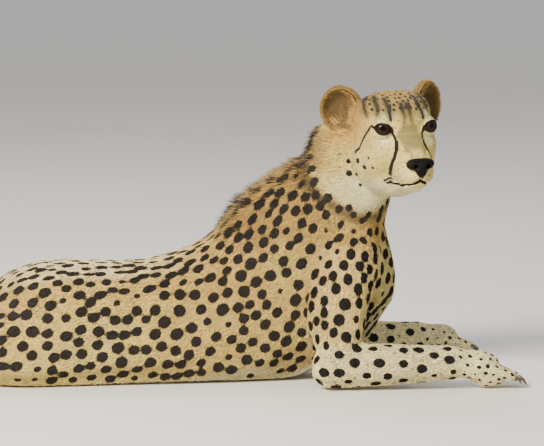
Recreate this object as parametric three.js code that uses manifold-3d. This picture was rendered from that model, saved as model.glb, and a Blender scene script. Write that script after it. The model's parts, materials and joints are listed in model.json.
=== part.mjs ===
// A life-size cheetah lying half on its right hip, chest up and head turned to its right.
// Millimetres. +X is the way the body faces, +Y its left side, +Z up, and the floor is z = 0.
//
// The body's forms are fields: bones and muscles as tapered rods and ellipsoids that melt together. A wrap
// of rings and spokes finds each field's surface round an axis. All the flesh is joined into one solid, cut
// flat at the floor, and parted into its nodes by blocks that follow the joints, with a thin gap between.

import * as THREE from "three";
import { mergeVertices } from "three/addons/utils/BufferGeometryUtils.js";
import Module from "manifold-3d";

const wasm = await Module();
wasm.setup();

// ---------------------------------------------------------------- driving sizes
const GAP = 0.35; // between neighbouring solids
const SEAM_TOLERANCE = 1.5; // how far the small triangles along a join may move
const EYE_SPACING = 72; // centre to centre
const EYE_RADIUS = 17.5;
const EYE_SET_BACK = 12; // of an eyeball's centre behind the line of the eyes' fronts
const EYE_LIFT = 5; // of an eyeball's centre over the lower lids
const NOSE_WIDTH = 46;
const EAR_HEIGHT = 76;
const TOE_COUNT = 4;
const TOE_SPACING = 15;
const TOE_GATHER = 2.4; // how much closer the knuckles are
const TOE_TIP = 10; // radius
const CLAW_LENGTH = 10;

const GOLD = 0xc99a5b;
const CREAM = 0xe2cfa4;
const WHITE = 0xf0e8d8;
const BLACK = 0x231b17;
const AMBER = 0x4a2a14;

// ---------------------------------------------------------------- fields
const V = (x, y, z) => new THREE.Vector3(x, y, z);
const mix = THREE.MathUtils.lerp;
const rad = THREE.MathUtils.degToRad;
const SIDES = [["r", -1], ["l", 1]];

const turned = (yaw, pitch, roll) =>
  new THREE.Quaternion().setFromEuler(new THREE.Euler(rad(roll), rad(-pitch), rad(yaw), "ZYX"));

/** A tapered rod with round ends, from a to b. */
function rod(a, b, ra, rb) {
  const along = b.clone().sub(a);
  const span = along.lengthSq();
  const from = V(0, 0, 0);
  return (p) => {
    from.subVectors(p, a);
    const t = THREE.MathUtils.clamp(from.dot(along) / span, 0, 1);
    return from.addScaledVector(along, -t).length() - mix(ra, rb, t);
  };
}

/** An ellipsoid, turned about its centre by yaw, pitch and roll in degrees. */
function mass(centre, radii, yaw = 0, pitch = 0, roll = 0) {
  const back = turned(yaw, pitch, roll).invert();
  const q = V(0, 0, 0);
  const slope = V(0, 0, 0);
  const least = Math.min(radii.x, radii.y, radii.z);
  return (p) => {
    q.subVectors(p, centre).applyQuaternion(back).divide(radii);
    const reach = q.length();
    const steep = slope.copy(q).divide(radii).length();
    return steep < 1e-9 ? -least : (reach * (reach - 1)) / steep;
  };
}

/** Fields melted together; softness is how far round a crease the melting reaches. */
function melt(softness, ...fields) {
  return (p) => {
    let sum = 0;
    for (const field of fields) sum += Math.exp(-field(p) / softness);
    return -softness * Math.log(sum);
  };
}

/** A field on the right side, at negative y, and its mirror image on the left. */
function both(field) {
  const q = V(0, 0, 0);
  return (p) => field(q.set(p.x, -Math.abs(p.y), p.z));
}

/** A field moved by a matrix, such as the head's on its turned neck. */
function placed(matrix, field) {
  const back = matrix.clone().invert();
  const q = V(0, 0, 0);
  return (p) => field(q.copy(p).applyMatrix4(back));
}

// ---------------------------------------------------------------- from field to solid
/** How far a spoke runs from its root inside the field to the surface. */
function spokeLength(field, root, way) {
  const p = V(0, 0, 0);
  const at = (r) => field(p.copy(root).addScaledVector(way, r));
  let inner = 0;
  let outer = 0;
  let depth = at(0);
  if (depth > 0) throw new Error(`a wrap's axis leaves its form at ${root.toArray().map(Math.round)}`);
  while (depth < 0) {
    inner = outer;
    outer += Math.max(-0.7 * depth, 1);
    depth = at(outer);
  }
  for (let i = 0; i < 20; i++) {
    const middle = (inner + outer) / 2;
    if (at(middle) < 0) inner = middle;
    else outer = middle;
  }
  return inner;
}

/**
 * A closed wrap of rings and spokes round an axis, with a round cap at each end. The surface is where each
 * spoke leaves the field, so a form has one skin however many muscles it is made of.
 */
function wrap(field, axis, { rings, spokes, caps = 3, up = V(0, 0, 1) }) {
  const curve = new THREE.CatmullRomCurve3(axis, false, "centripetal");
  const surface = (root, way) => root.clone().addScaledVector(way, spokeLength(field, root, way));
  const loop = (t, tilt) => {
    const root = curve.getPointAt(t);
    const ahead = curve.getTangentAt(t);
    const side = V(0, 0, 0).crossVectors(up, ahead).normalize();
    const top = V(0, 0, 0).crossVectors(ahead, side);
    return Array.from({ length: spokes }, (_, i) => {
      const turn = (2 * Math.PI * i) / spokes;
      const way = side.clone().multiplyScalar(Math.cos(turn)).addScaledVector(top, Math.sin(turn));
      way.multiplyScalar(Math.cos(tilt)).addScaledVector(ahead, Math.sin(tilt));
      return surface(root, way);
    });
  };
  const tilts = Array.from({ length: caps }, (_, i) => (Math.PI / 2) * (1 - (i + 1) / (caps + 1)));
  const loops = [
    ...tilts.map((tilt) => loop(0, -tilt)),
    ...Array.from({ length: rings + 1 }, (_, i) => loop(i / rings, 0)),
    ...tilts.toReversed().map((tilt) => loop(1, tilt)),
  ];
  const first = surface(curve.getPointAt(0), curve.getTangentAt(0).negate());
  const final = surface(curve.getPointAt(1), curve.getTangentAt(1));
  const points = [first, ...loops.flat(), final];
  const at = (j, i) => 1 + j * spokes + (i % spokes);
  const faces = [];
  for (let i = 0; i < spokes; i++) {
    faces.push(0, at(0, i + 1), at(0, i));
    faces.push(points.length - 1, at(loops.length - 1, i), at(loops.length - 1, i + 1));
    for (let j = 0; j + 1 < loops.length; j++) {
      faces.push(at(j, i), at(j, i + 1), at(j + 1, i + 1));
      faces.push(at(j, i), at(j + 1, i + 1), at(j + 1, i));
    }
  }
  const geometry = new THREE.BufferGeometry().setFromPoints(points);
  geometry.setIndex(faces);
  return solidOf(geometry);
}

/** A closed geometry as a solid that can be joined and cut. */
function solidOf(geometry) {
  const bare = geometry.clone();
  for (const name of Object.keys(bare.attributes)) {
    if (name !== "position") bare.deleteAttribute(name);
  }
  const merged = mergeVertices(bare, 1e-4);
  return new wasm.Manifold(
    new wasm.Mesh({
      numProp: 3,
      vertProperties: merged.attributes.position.array,
      triVerts: new Uint32Array(merged.index.array),
    }),
  );
}

/** A solid's vertices and triangles as a geometry. */
function geometryOf(solid) {
  const { vertProperties, triVerts } = solid.getMesh();
  const geometry = new THREE.BufferGeometry();
  geometry.setAttribute("position", new THREE.BufferAttribute(new Float32Array(vertProperties), 3));
  geometry.setIndex(new THREE.BufferAttribute(new Uint32Array(triVerts), 1));
  geometry.computeVertexNormals();
  return geometry;
}

/** A block round a centre, grown on every side by the given amount. */
const block = (centre, size, turn = turned(0, 0, 0)) => (grow) => {
  const box = new THREE.BoxGeometry(size.x + 2 * grow, size.y + 2 * grow, size.z + 2 * grow);
  box.applyMatrix4(new THREE.Matrix4().compose(centre, turn, V(1, 1, 1)));
  return solidOf(box);
};

/** A block that follows a bone from a to b, so wide, and so far below and above it. */
function blockAlong(a, b, wide, below, above) {
  const ahead = b.clone().sub(a);
  const side = V(0, 0, 0).crossVectors(V(0, 0, 1), ahead).normalize();
  const top = V(0, 0, 0).crossVectors(ahead, side).normalize();
  const turn = new THREE.Quaternion().setFromRotationMatrix(
    new THREE.Matrix4().makeBasis(ahead.clone().normalize(), side, top),
  );
  const centre = a.clone().lerp(b, 0.5).addScaledVector(top, (above - below) / 2);
  return block(centre, V(ahead.length(), wide, below + above), turn);
}

// ---------------------------------------------------------------- landmarks of the pose
const FORE = {
  r: {
    shoulder: V(132, -62, 206), elbow: V(108, -122, 41),
    carpus: V(296, -112, 42), ball: V(350, -104, 36), tip: V(400, -98, 17),
  },
  l: {
    shoulder: V(126, 62, 202), elbow: V(94, 116, 40),
    carpus: V(254, 186, 36), ball: V(300, 207, 32), tip: V(344, 226, 16),
  },
};
const HIND = {
  r: {
    hip: V(-468, -46, 60), knee: V(-285, 92, 46), hock: V(-344, 319, 34),
    ball: V(-214, 371, 27), tip: V(-156, 394, 16),
  },
  l: {
    hip: V(-456, 24, 94), knee: V(-288, 168, 118), hock: V(-417, 348, 40),
    ball: V(-298, 421, 28), tip: V(-245, 453, 16),
  },
};
const TAIL = [
  V(-520, -60, 84), V(-580, -68, 58), V(-645, -64, 34), V(-725, -42, 24), V(-796, 6, 23),
  V(-836, 84, 23), V(-828, 164, 23), V(-778, 228, 23), V(-708, 262, 23), V(-650, 274, 22),
];
const TAIL_THICK = { root: 31, middle: 23, end: 21 }; // radii
const TAIL_CUTS = [7, 5, 3, 1]; // the joints where it is parted, from the tip
const TAIL_REACH = 280; // of a parting block, along and across the tail

// The head's own frame starts midway between the eyes' lower lids, x ahead and y to its left.
const headPlace = new THREE.Matrix4().compose(V(217, -140, 424), turned(-71, -6, 2), V(1, 1, 1));
const inHead = (x, y, z) => V(x, y, z).applyMatrix4(headPlace);

// ---------------------------------------------------------------- body
const bodyField = melt(
  9,
  mass(V(-34, 0, 114), V(222, 90, 118)), // ribs
  rod(V(10, 0, 60), V(-140, 0, 56), 66, 64), // breastbone
  mass(V(104, 0, 170), V(95, 80, 114)), // breast
  both(mass(V(34, -40, 214), V(88, 46, 78), 0, 22)), // shoulder blades
  rod(V(-150, -6, 115), V(-300, -26, 113), 86, 87), // loin
  rod(V(-60, -42, 46), V(-400, -80, 42), 44, 50), // flank, spread on the floor
  rod(V(-100, 36, 46), V(-300, 20, 42), 44, 40), // belly
  mass(V(-360, -30, 114), V(122, 92, 89)), // croup
  mass(V(-456, -60, 62), V(110, 80, 68)), // lower hip
  mass(V(-448, 6, 96), V(110, 76, 64)), // upper hip
  rod(V(-22, 0, 268), V(40, 0, 296), 44, 52), // withers
  rod(V(-24, 0, 258), V(-150, 0, 148), 42, 42), // down to the back
  rod(V(40, 0, 268), V(126, -20, 350), 71, 54), // neck
  rod(V(126, -20, 350), V(150, -40, 388), 62, 58), // top of the neck
  mass(V(110, -26, 394), V(43, 58, 50)), // nape
  rod(V(118, -4, 230), V(150, -40, 330), 62, 52), // throat
);
const bodyAxis = [
  V(-500, -36, 76), V(-340, -26, 92), V(-170, -4, 106), V(-50, 0, 136),
  V(40, 0, 196), V(96, -8, 270), V(134, -26, 340), V(150, -36, 376),
];

const tailRadius = (t) =>
  t < 0.35
    ? mix(TAIL_THICK.root, TAIL_THICK.middle, t / 0.35)
    : mix(TAIL_THICK.middle, TAIL_THICK.end, (t - 0.35) / 0.65);
const tailField = melt(
  2,
  ...TAIL.slice(1).map((joint, i) => {
    const last = TAIL.length - 1;
    return rod(TAIL[i], joint, tailRadius(i / last), tailRadius((i + 1) / last));
  }),
);

// ---------------------------------------------------------------- head
const headField = placed(
  headPlace,
  melt(
    5.5,
    mass(V(-60, 0, 7), V(56, 54, 51)), // cranium
    both(mass(V(-60, -30, 25), V(43, 32, 29))), // temple
    mass(V(-28, 0, 14), V(36, 40, 33)), // forehead
    rod(V(-50, 0, -20), V(24, 0, -46), 32, 28), // core of the face
    both(mass(V(-12, -33, 14), V(18, 15, 9), 15)), // brow
    both(rod(V(-4, -40, -24), V(-52, -50, -14), 12, 16)), // cheekbone
    both(rod(V(-4, -28, -34), V(36, -13, -57), 18, 14)), // upper jaw
    both(mass(V(-42, -39, -42), V(38, 24, 36))), // jaw muscle
    both(mass(V(-90, -44, 6), V(28, 26, 32))), // root of the ear
    rod(V(-10, 0, -2), V(46, 0, -41), 20, 16), // bridge of the nose
    mass(V(34, 0, -58), V(31, 24, 20)), // muzzle
    both(mass(V(48, -11, -59), V(20, 14, 15))), // whisker pad
    rod(V(26, 0, -78), V(-44, 0, -70), 13, 33), // lower jaw
    mass(V(32, 0, -82), V(15, 13, 11)), // chin
    both(mass(V(-62, -40, -58), V(35, 31, 44))), // cheek ruff
    mass(V(-44, 0, -80), V(46, 47, 37)), // throat ruff
  ),
);
const headAxis = [inHead(-84, 0, -16), inHead(-40, 0, -24), inHead(2, 0, -36), inHead(50, 0, -58)];

const noseField = placed(
  headPlace,
  melt(
    2,
    mass(V(64, 0, -39), V(10, NOSE_WIDTH / 2, 8)), // wings
    mass(V(68, 0, -50), V(8, NOSE_WIDTH / 6, 13)), // wedge down to the lip
  ),
);
const noseAxis = [inHead(61, 0, -42), inHead(69, 0, -43)];

/** An eyeball in its socket. */
function eyeSolid(side, grow) {
  const ball = new THREE.SphereGeometry(EYE_RADIUS + grow, 10, 6);
  ball.rotateZ(Math.PI / 2);
  const centre = inHead(-EYE_SET_BACK, (side * EYE_SPACING) / 2, EYE_LIFT);
  ball.translate(centre.x, centre.y, centre.z);
  return solidOf(ball);
}

/** A round cup, thin at its rim, that opens ahead and outwards. */
function earSolid(side, grow) {
  const cup = (x, y, z, size, extra) => {
    const ball = new THREE.SphereGeometry(1, 11, 6);
    ball.scale(size.x + extra, size.y + extra, size.z + extra);
    ball.applyQuaternion(turned(side * 34, 4, side * -14));
    ball.translate(x, side * y, z);
    ball.applyMatrix4(headPlace);
    return solidOf(ball);
  };
  const outer = cup(-102, 74, 22, V(20, 35, EAR_HEIGHT / 2), grow);
  return outer.subtract(cup(-86, 84, 25, V(19, 29, EAR_HEIGHT / 2 - 6), -grow));
}

// ---------------------------------------------------------------- limbs
const floor = block(V(0, 0, -200), V(4000, 4000, 400))(0);

const limb = (softness, axis, density, ...fields) => wrap(melt(softness, ...fields), axis, density);

/** Upper arm with the muscle behind it. */
function upperArm({ shoulder, elbow }) {
  const out = Math.sign(elbow.y);
  return limb(
    9,
    [V(110, out * 72, 190), V(102, out * 112, 62)],
    { rings: 5, spokes: 12, caps: 2 },
    mass(shoulder, V(46, 40, 58)),
    rod(shoulder, elbow.clone().add(V(2, 0, 14)), 42, 33),
    mass(V(100, out * 90, 130), V(46, 36, 80), 0, -6, 0), // triceps
  );
}

function forearm({ elbow, carpus }) {
  const middle = elbow.clone().lerp(carpus, 0.45);
  const point = elbow.clone().add(V(-12, 0, -6));
  return limb(
    6,
    [elbow, carpus],
    { rings: 3, spokes: 10, caps: 2 },
    rod(point, middle, 36, 35),
    rod(middle, carpus, 35, 30),
  );
}

function thigh({ hip, knee }, thick) {
  const middle = hip.clone().lerp(knee, 0.5);
  return limb(
    9,
    [hip, knee],
    { rings: 4, spokes: 11, caps: 2 },
    rod(hip, middle, thick, thick * 0.84),
    rod(middle, knee, thick * 0.82, 44),
  );
}

function shank({ knee, hock }) {
  const calf = knee.clone().lerp(hock, 0.4);
  return limb(
    6,
    [knee, hock],
    { rings: 3, spokes: 9, caps: 1 },
    rod(knee, calf, 42, 35),
    rod(calf, hock, 35, 21),
  );
}

/** The toes side by side, each from its knuckle over a bent joint to its tip. */
function toesOf({ ball, tip }) {
  const ahead = tip.clone().sub(ball);
  const side = V(0, 0, 0).crossVectors(V(0, 0, 1), ahead).normalize();
  return Array.from({ length: TOE_COUNT }, (_, i) => {
    const place = i - (TOE_COUNT - 1) / 2;
    const back = Math.abs(place) > 1 ? 0.24 : 0.02; // the outer toes are set back
    const beside = side.clone().multiplyScalar(place * TOE_SPACING).addScaledVector(ahead, -back);
    const knuckle = ball.clone().add(beside).addScaledVector(side, -place * TOE_GATHER);
    const end = tip.clone().add(beside);
    const bend = knuckle.clone().lerp(end, 0.55).add(V(0, 0, 5));
    return { knuckle, bend, end, ahead: ahead.clone().normalize() };
  });
}

function toeSolid({ knuckle, bend, end }, grow) {
  const thick = TOE_TIP + 2 + grow;
  return limb(
    3,
    [knuckle, bend, end],
    { rings: 1, spokes: 6, caps: 1 },
    rod(knuckle, bend, thick, thick),
    rod(bend, end, thick, TOE_TIP + grow),
  );
}

/** Palm, pad and toes. */
function paw(leg, wrist, thick) {
  const { ball, tip } = leg;
  const pad = ball.clone().lerp(tip, 0.2).setZ(12);
  const palm = limb(
    5,
    [wrist, ball],
    { rings: 2, spokes: 8, caps: 1 },
    rod(wrist, ball, thick, thick),
    mass(pad, V(26, 26, 15)),
  );
  return toesOf(leg).reduce((whole, toe) => whole.add(toeSolid(toe, 0)), palm);
}

/** A short hooked claw, its root cut to the round end of its toe. */
function claw(toe) {
  const root = toe.end.clone().addScaledVector(toe.ahead, TOE_TIP - 4).add(V(0, 0, 2));
  const point = toe.end.clone().addScaledVector(toe.ahead, TOE_TIP + CLAW_LENGTH).add(V(0, 0, -6));
  const bend = root.clone().lerp(point, 0.5).add(V(0, 0, 3));
  const density = { rings: 2, spokes: 5, caps: 0 };
  const horn = limb(0.8, [root, bend, point], density, rod(root, bend, 3.6, 2.9), rod(bend, point, 2.9, 1));
  return horn.subtract(toeSolid(toe, GAP)).subtract(floor);
}

// ---------------------------------------------------------------- join all the flesh
const shapes = [
  wrap(headField, headAxis, { rings: 11, spokes: 24, caps: 2 }),
  wrap(bodyField, bodyAxis, { rings: 18, spokes: 17, caps: 2 }),
  wrap(tailField, TAIL, { rings: 15, spokes: 7, caps: 1 }),
];
for (const [tag] of SIDES) {
  shapes.push(
    upperArm(FORE[tag]),
    forearm(FORE[tag]),
    paw(FORE[tag], FORE[tag].carpus, 26),
    thigh(HIND[tag], tag === "l" ? 72 : 58),
    shank(HIND[tag]),
    paw(HIND[tag], HIND[tag].hock, 21),
  );
}
let flesh = shapes.reduce((whole, shape) => whole.add(shape));
flesh = flesh.subtract(floor).simplify(SEAM_TOLERANCE);

// ---------------------------------------------------------------- part it into nodes
const cheetah = new THREE.Group();

function addNode(name, solid, colour, roughness = 0.85) {
  const [largest] = solid.decompose().sort((a, b) => b.volume() - a.volume());
  const material = new THREE.MeshStandardMaterial({ color: colour, roughness, metalness: 0 });
  const mesh = new THREE.Mesh(geometryOf(largest), material);
  mesh.name = name;
  cheetah.add(mesh);
}

/** Adds a hard piece that sits in a pit of its own in the flesh. */
function setIn(name, colour, roughness, make) {
  addNode(name, make(0).subtract(floor), colour, roughness);
  flesh = flesh.subtract(make(GAP));
}

/** Takes what lies in a block off the flesh, as a node of its own. */
function take(name, colour, region) {
  addNode(name, flesh.intersect(region(-GAP / 2)), colour);
  flesh = flesh.subtract(region(GAP / 2));
}

for (const [tag, side] of SIDES) {
  setIn(`eye_${tag}`, AMBER, 0.1, (grow) => eyeSolid(side, grow));
  setIn(`ear_${tag}`, GOLD, 0.85, (grow) => earSolid(side, grow));
  for (const [foot, leg] of [["fore", FORE[tag]], ["hind", HIND[tag]]]) {
    toesOf(leg).forEach((toe, i) => {
      addNode(`claw_${foot}_${tag}_${i + 1}`, claw(toe), BLACK, 0.4);
    });
  }
}
setIn("nose", BLACK, 0.5, (grow) => {
  const grown = (p) => noseField(p) - grow;
  return wrap(grown, noseAxis, { rings: 1, spokes: 12, caps: 1 });
});

const throat = V(140, -30, 350);
const toHead = V(0.62, -0.62, 0.48).multiplyScalar(400);
take("head", CREAM, blockAlong(throat, throat.clone().add(toHead), 600, 300, 300));
for (const [tag] of SIDES) {
  const { elbow, carpus, tip } = FORE[tag];
  const onFloor = (from, to, t) => from.clone().lerp(to, t).setZ(0);
  const wrist = carpus.clone().setZ(0);
  take(`forepaw_${tag}`, WHITE, blockAlong(wrist, onFloor(carpus, tip, 1.6), 130, 50, 200));
  take(`forearm_${tag}`, CREAM, blockAlong(onFloor(elbow, carpus, -0.23), wrist, 108, 50, 76));
}
take("neck", GOLD, block(V(60, 0, 443), V(600, 600, 400), turned(0, -5, 0)));
for (const [tag, side] of SIDES) {
  take(`upper_arm_${tag}`, GOLD, block(V(164, side * 132, 160), V(190, 140, 400), turned(0, -8, 0)));
}
for (const [tag] of SIDES) {
  const { knee, hock, tip } = HIND[tag];
  const beyond = tip.clone().lerp(hock, -0.5).setZ(0);
  take(`hindpaw_${tag}`, WHITE, blockAlong(hock.clone().setZ(0), beyond, 92, 50, 120));
  take(`shank_${tag}`, CREAM, blockAlong(knee, hock, 96, 60, tag === "r" ? 26 : 60));
}
take("thigh_l", GOLD, block(V(-356, 156, 155), V(260, 132, 170), turned(39.5, 0, 0)));
take("thigh_r", GOLD, block(V(-355, 100, 12), V(227, 105, 125), turned(35, 0, 0)));
TAIL_CUTS.forEach((joint, i) => {
  const ahead = TAIL[joint + 1].clone().sub(TAIL[joint - 1]).setZ(0).setLength(TAIL_REACH);
  const start = TAIL[joint].clone().setZ(0);
  const region = blockAlong(start, start.clone().add(ahead), TAIL_REACH, 50, 200);
  take(`tail_${TAIL_CUTS.length - i}`, GOLD, region);
});
take("rump", GOLD, block(V(-560, 0, 100), V(420, 800, 600)));
take("loin", GOLD, block(V(-245, 0, 100), V(210, 800, 600)));
addNode("chest", flesh, GOLD);

// The origin is on the floor, under the middle of the whole animal.
const middle = new THREE.Box3().setFromObject(cheetah).getCenter(V(0, 0, 0));
cheetah.position.set(-middle.x, -middle.y, 0);

export default cheetah;
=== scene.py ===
import json
import math

import bmesh
import bpy
import numpy as np
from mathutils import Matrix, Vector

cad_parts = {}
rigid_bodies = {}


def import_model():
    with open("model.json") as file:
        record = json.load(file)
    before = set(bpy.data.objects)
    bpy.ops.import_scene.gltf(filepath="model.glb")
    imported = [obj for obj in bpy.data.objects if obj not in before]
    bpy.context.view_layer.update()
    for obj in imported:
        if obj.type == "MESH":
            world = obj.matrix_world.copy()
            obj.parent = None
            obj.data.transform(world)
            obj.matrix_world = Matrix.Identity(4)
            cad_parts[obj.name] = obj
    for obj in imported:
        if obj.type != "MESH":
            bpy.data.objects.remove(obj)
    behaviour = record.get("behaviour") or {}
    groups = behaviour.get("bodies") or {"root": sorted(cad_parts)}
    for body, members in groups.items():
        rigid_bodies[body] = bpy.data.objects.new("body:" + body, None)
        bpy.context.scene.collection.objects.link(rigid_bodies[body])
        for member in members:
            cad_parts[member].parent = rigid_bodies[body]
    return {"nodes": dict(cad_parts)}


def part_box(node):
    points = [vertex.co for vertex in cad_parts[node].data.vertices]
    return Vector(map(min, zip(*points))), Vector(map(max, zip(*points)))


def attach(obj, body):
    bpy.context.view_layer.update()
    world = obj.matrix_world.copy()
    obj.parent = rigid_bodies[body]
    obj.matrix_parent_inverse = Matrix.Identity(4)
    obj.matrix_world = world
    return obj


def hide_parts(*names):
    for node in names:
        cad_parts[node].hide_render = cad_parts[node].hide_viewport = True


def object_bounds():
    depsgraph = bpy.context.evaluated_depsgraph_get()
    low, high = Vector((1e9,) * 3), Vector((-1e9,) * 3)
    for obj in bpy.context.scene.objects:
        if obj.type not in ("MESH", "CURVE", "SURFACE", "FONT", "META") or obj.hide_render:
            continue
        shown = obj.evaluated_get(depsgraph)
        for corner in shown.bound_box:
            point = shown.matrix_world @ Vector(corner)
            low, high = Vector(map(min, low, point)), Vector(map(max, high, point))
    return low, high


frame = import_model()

import openvdb
from mathutils import Matrix, Vector
from mathutils.bvhtree import BVHTree
from mathutils.kdtree import KDTree

bl_info = {
    "name": "Lying Cheetah",
    "version": (1, 0, 0),
    "blender": (4, 5, 0),
    "location": "3D View > Sidebar > Cheetah",
    "description": "Dresses a lying cheetah in skin, coat, eyes, nose, claws and whiskers",
    "category": "Object",
}

MM = 0.001
SIDES = (("r", -1.0), ("l", 1.0))
CAD_BOX = [list(corner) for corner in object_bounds()]
BUILD_ORDER = ("stage", "skin", "eyes", "nose", "claws", "coat", "whiskers")


# ------------------------------------------------------------------ settings
def length_setting(name, description, default):
    """A length in metres that a user may change."""
    return bpy.props.FloatProperty(
        name=name, description=description, default=default, min=0.0, unit="LENGTH", precision=4
    )


def colour_setting(name, description, default):
    """A colour that a user may change."""
    return bpy.props.FloatVectorProperty(
        name=name, description=description, default=default, subtype="COLOR",
        size=3, min=0.0, max=1.0,
    )


class CheetahSkinSettings(bpy.types.PropertyGroup):
    """How finely the skin is made, and how it lies under the coat."""

    grain: length_setting("Skin grain", "Spacing of the skin's points on the body", 5.0 * MM)
    voxel: length_setting("Form grain", "Finest form that the skin takes from the solids", 3.4 * MM)
    gap: length_setting("Closed gap", "Widest cut between solids that the skin bridges", 5.0 * MM)
    lid: length_setting("Lid thickness", "Thickness of the eyelids over the eyeballs", 1.6 * MM)
    lip_groove: length_setting("Lip groove", "Depth of the line of the mouth", 3.0 * MM)


class CheetahCoatSettings(bpy.types.PropertyGroup):
    """Sizes and colours of the coat."""

    lock_width: length_setting("Lock width", "Width of a lock of hair on the body", 2.1 * MM)
    spot_size: bpy.props.FloatProperty(
        name="Spot size", description="Scale of every spot", default=1.0, subtype="FACTOR",
        min=0.2, max=2.0,
    )
    gold: colour_setting("Gold", "Coat of the back and shoulders", (0.68, 0.41, 0.10))
    cream: colour_setting("Cream", "Coat of the flanks and legs", (0.82, 0.665, 0.215))
    white: colour_setting("White", "Coat of the belly, throat and chin", (0.94, 0.88, 0.58))
    black: colour_setting("Black", "Spots, rings and tear lines", (0.010, 0.007, 0.006))


class CheetahEyeSettings(bpy.types.PropertyGroup):
    """The eyeballs."""

    divergence: bpy.props.FloatProperty(
        name="Divergence", description="How far each eye looks outwards",
        default=math.radians(20.0), subtype="ANGLE",
    )
    bulge: length_setting("Cornea bulge", "How far the cornea stands out of the eyeball", 1.3 * MM)
    iris: colour_setting("Iris", "Colour of the iris", (0.015, 0.007, 0.004))


class CheetahStageSettings(bpy.types.PropertyGroup):
    """Camera, floor and lights."""

    distance: length_setting("Camera distance", "From the camera to the point that it aims at", 5.0)
    elevation: bpy.props.FloatProperty(
        name="Camera elevation", description="Height of the view over the horizon",
        default=math.radians(7.0), subtype="ANGLE",
    )
    lens: bpy.props.FloatProperty(
        name="Lens", description="Focal length on a sensor 36 mm wide",
        default=198.5, subtype="DISTANCE_CAMERA",
    )
    floor: colour_setting("Floor", "Colour of the floor", (0.80, 0.77, 0.72))


# ------------------------------------------------------------------ places in the frame
JOINT_GAP = 2 * MM  # within which points of two neighbouring nodes belong to their cut


def middle(node):
    """The middle of a CAD node's box."""
    low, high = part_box(node)
    return (Vector(low) + Vector(high)) / 2


def read(items, name, kind=float, width=1):
    """A value of each of a mesh's items, or a row of values of each, as an array."""
    values = np.empty(len(items) * width, kind)
    items.foreach_get(name, values)
    return values.reshape(-1, width) if width > 1 else values


def search_tree(points, numbers=None):
    """A search tree over points, numbered in their order or as given."""
    tree = KDTree(len(points))
    for number, point in zip(range(len(points)) if numbers is None else numbers, points):
        tree.insert(point, number)
    tree.balance()
    return tree


def node_points(node):
    """A CAD node's points as an array."""
    return read(frame["nodes"][node].data.vertices, "co", width=3)


def joint(node, neighbour):
    """The middle of the cut between two neighbouring CAD nodes."""
    tree = search_tree(node_points(neighbour))
    shared = [point for point in node_points(node) if tree.find(point)[2] < JOINT_GAP]
    return Vector(np.mean(shared, axis=0))


NOSE_DROP = math.radians(34.2)  # of the nose under the level of the eyes
EYE_BACK = 12.0  # of the eyeballs' centres behind the head's origin, in mm
EYE_LIFT = 5.0
EYE_SIDE = 36.0
EYE_CENTRE = np.array((-EYE_BACK, EYE_SIDE, EYE_LIFT))  # of the left eye
EYE_RADIUS = 17.5


def head_matrix():
    """The head's own axes: x ahead, y to its left, z up, from midway between the lower lids."""
    right = middle("eye_r")
    left = middle("eye_l")
    across = (left - right).normalized()
    to_nose = middle("nose") - (left + right) / 2
    to_nose -= across * to_nose.dot(across)
    ahead = Matrix.Rotation(-NOSE_DROP, 3, across) @ to_nose.normalized()
    up = ahead.cross(across)
    origin = (left + right) / 2 + ahead * EYE_BACK * MM - up * EYE_LIFT * MM
    matrix = Matrix((ahead, across, up)).transposed().to_4x4()
    matrix.translation = origin
    return matrix


HEAD = head_matrix()
HEAD_AXES = np.array(HEAD.to_3x3())
HEAD_ORIGIN = np.array(HEAD.translation)


def to_head(points):
    """Points in the head's own axes, in millimetres."""
    return (points - HEAD_ORIGIN) @ HEAD_AXES / MM


def from_head(points):
    """Points of the head's axes, in millimetres, back in the frame."""
    return np.asarray(points, float) * MM @ HEAD_AXES.T + HEAD_ORIGIN


def skeleton():
    """Straight bones as (region, start, end, radius): the coat lies from start to end."""
    nose_tip = Vector(from_head((70, 0, -40)))
    skull = Vector(from_head((-105, 0, 0)))
    nape = joint("head", "neck")
    collar = joint("neck", "chest")
    waist = joint("chest", "loin")
    pelvis = joint("loin", "rump")
    dock = joint("rump", "tail_1")
    tail = [dock, joint("tail_1", "tail_2"), joint("tail_2", "tail_3"), joint("tail_3", "tail_4")]
    tail_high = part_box("tail_4")[1]
    tail.append(Vector((tail_high[0] - 0.02, tail_high[1] - 0.02, tail[-1].z)))
    bones = [
        ("head", nose_tip, skull, 0.062),
        ("neck", nape, collar, 0.062),
        ("trunk", collar, waist, 0.100),
        ("trunk", waist, pelvis, 0.095),
        ("trunk", pelvis, dock, 0.080),
    ]
    bones += [("tail", start, end, 0.022) for start, end in zip(tail, tail[1:])]
    for side, _ in SIDES:
        arm_low, arm_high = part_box(f"upper_arm_{side}")
        shoulder = (Vector(arm_low) + Vector(arm_high)) / 2
        shoulder.z = arm_high[2] - 0.03
        elbow = joint(f"upper_arm_{side}", f"forearm_{side}")
        elbow.z -= 0.035
        wrist = joint(f"forearm_{side}", f"forepaw_{side}")
        fore_tip = middle(f"claw_fore_{side}_2").lerp(middle(f"claw_fore_{side}_3"), 0.5)
        knee = joint(f"thigh_{side}", f"shank_{side}")
        hock = joint(f"shank_{side}", f"hindpaw_{side}")
        hind_tip = middle(f"claw_hind_{side}_2").lerp(middle(f"claw_hind_{side}_3"), 0.5)
        bones += [
            ("arm", shoulder, elbow, 0.042),
            ("forearm", elbow, wrist, 0.034),
            ("forepaw", wrist, fore_tip, 0.030),
            ("thigh", joint("rump", f"thigh_{side}"), knee, 0.058),
            ("shank", knee, hock, 0.034),
            ("hindpaw", hock, hind_tip, 0.022),
        ]
    return bones


BONES = skeleton()
REGIONS = (
    "head", "neck", "trunk", "tail", "arm", "forearm", "forepaw", "thigh", "shank", "hindpaw",
)
NODE_REGIONS = {
    "ear": "head", "chest": "trunk", "loin": "trunk", "rump": "trunk", "upper_arm": "arm",
}


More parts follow.
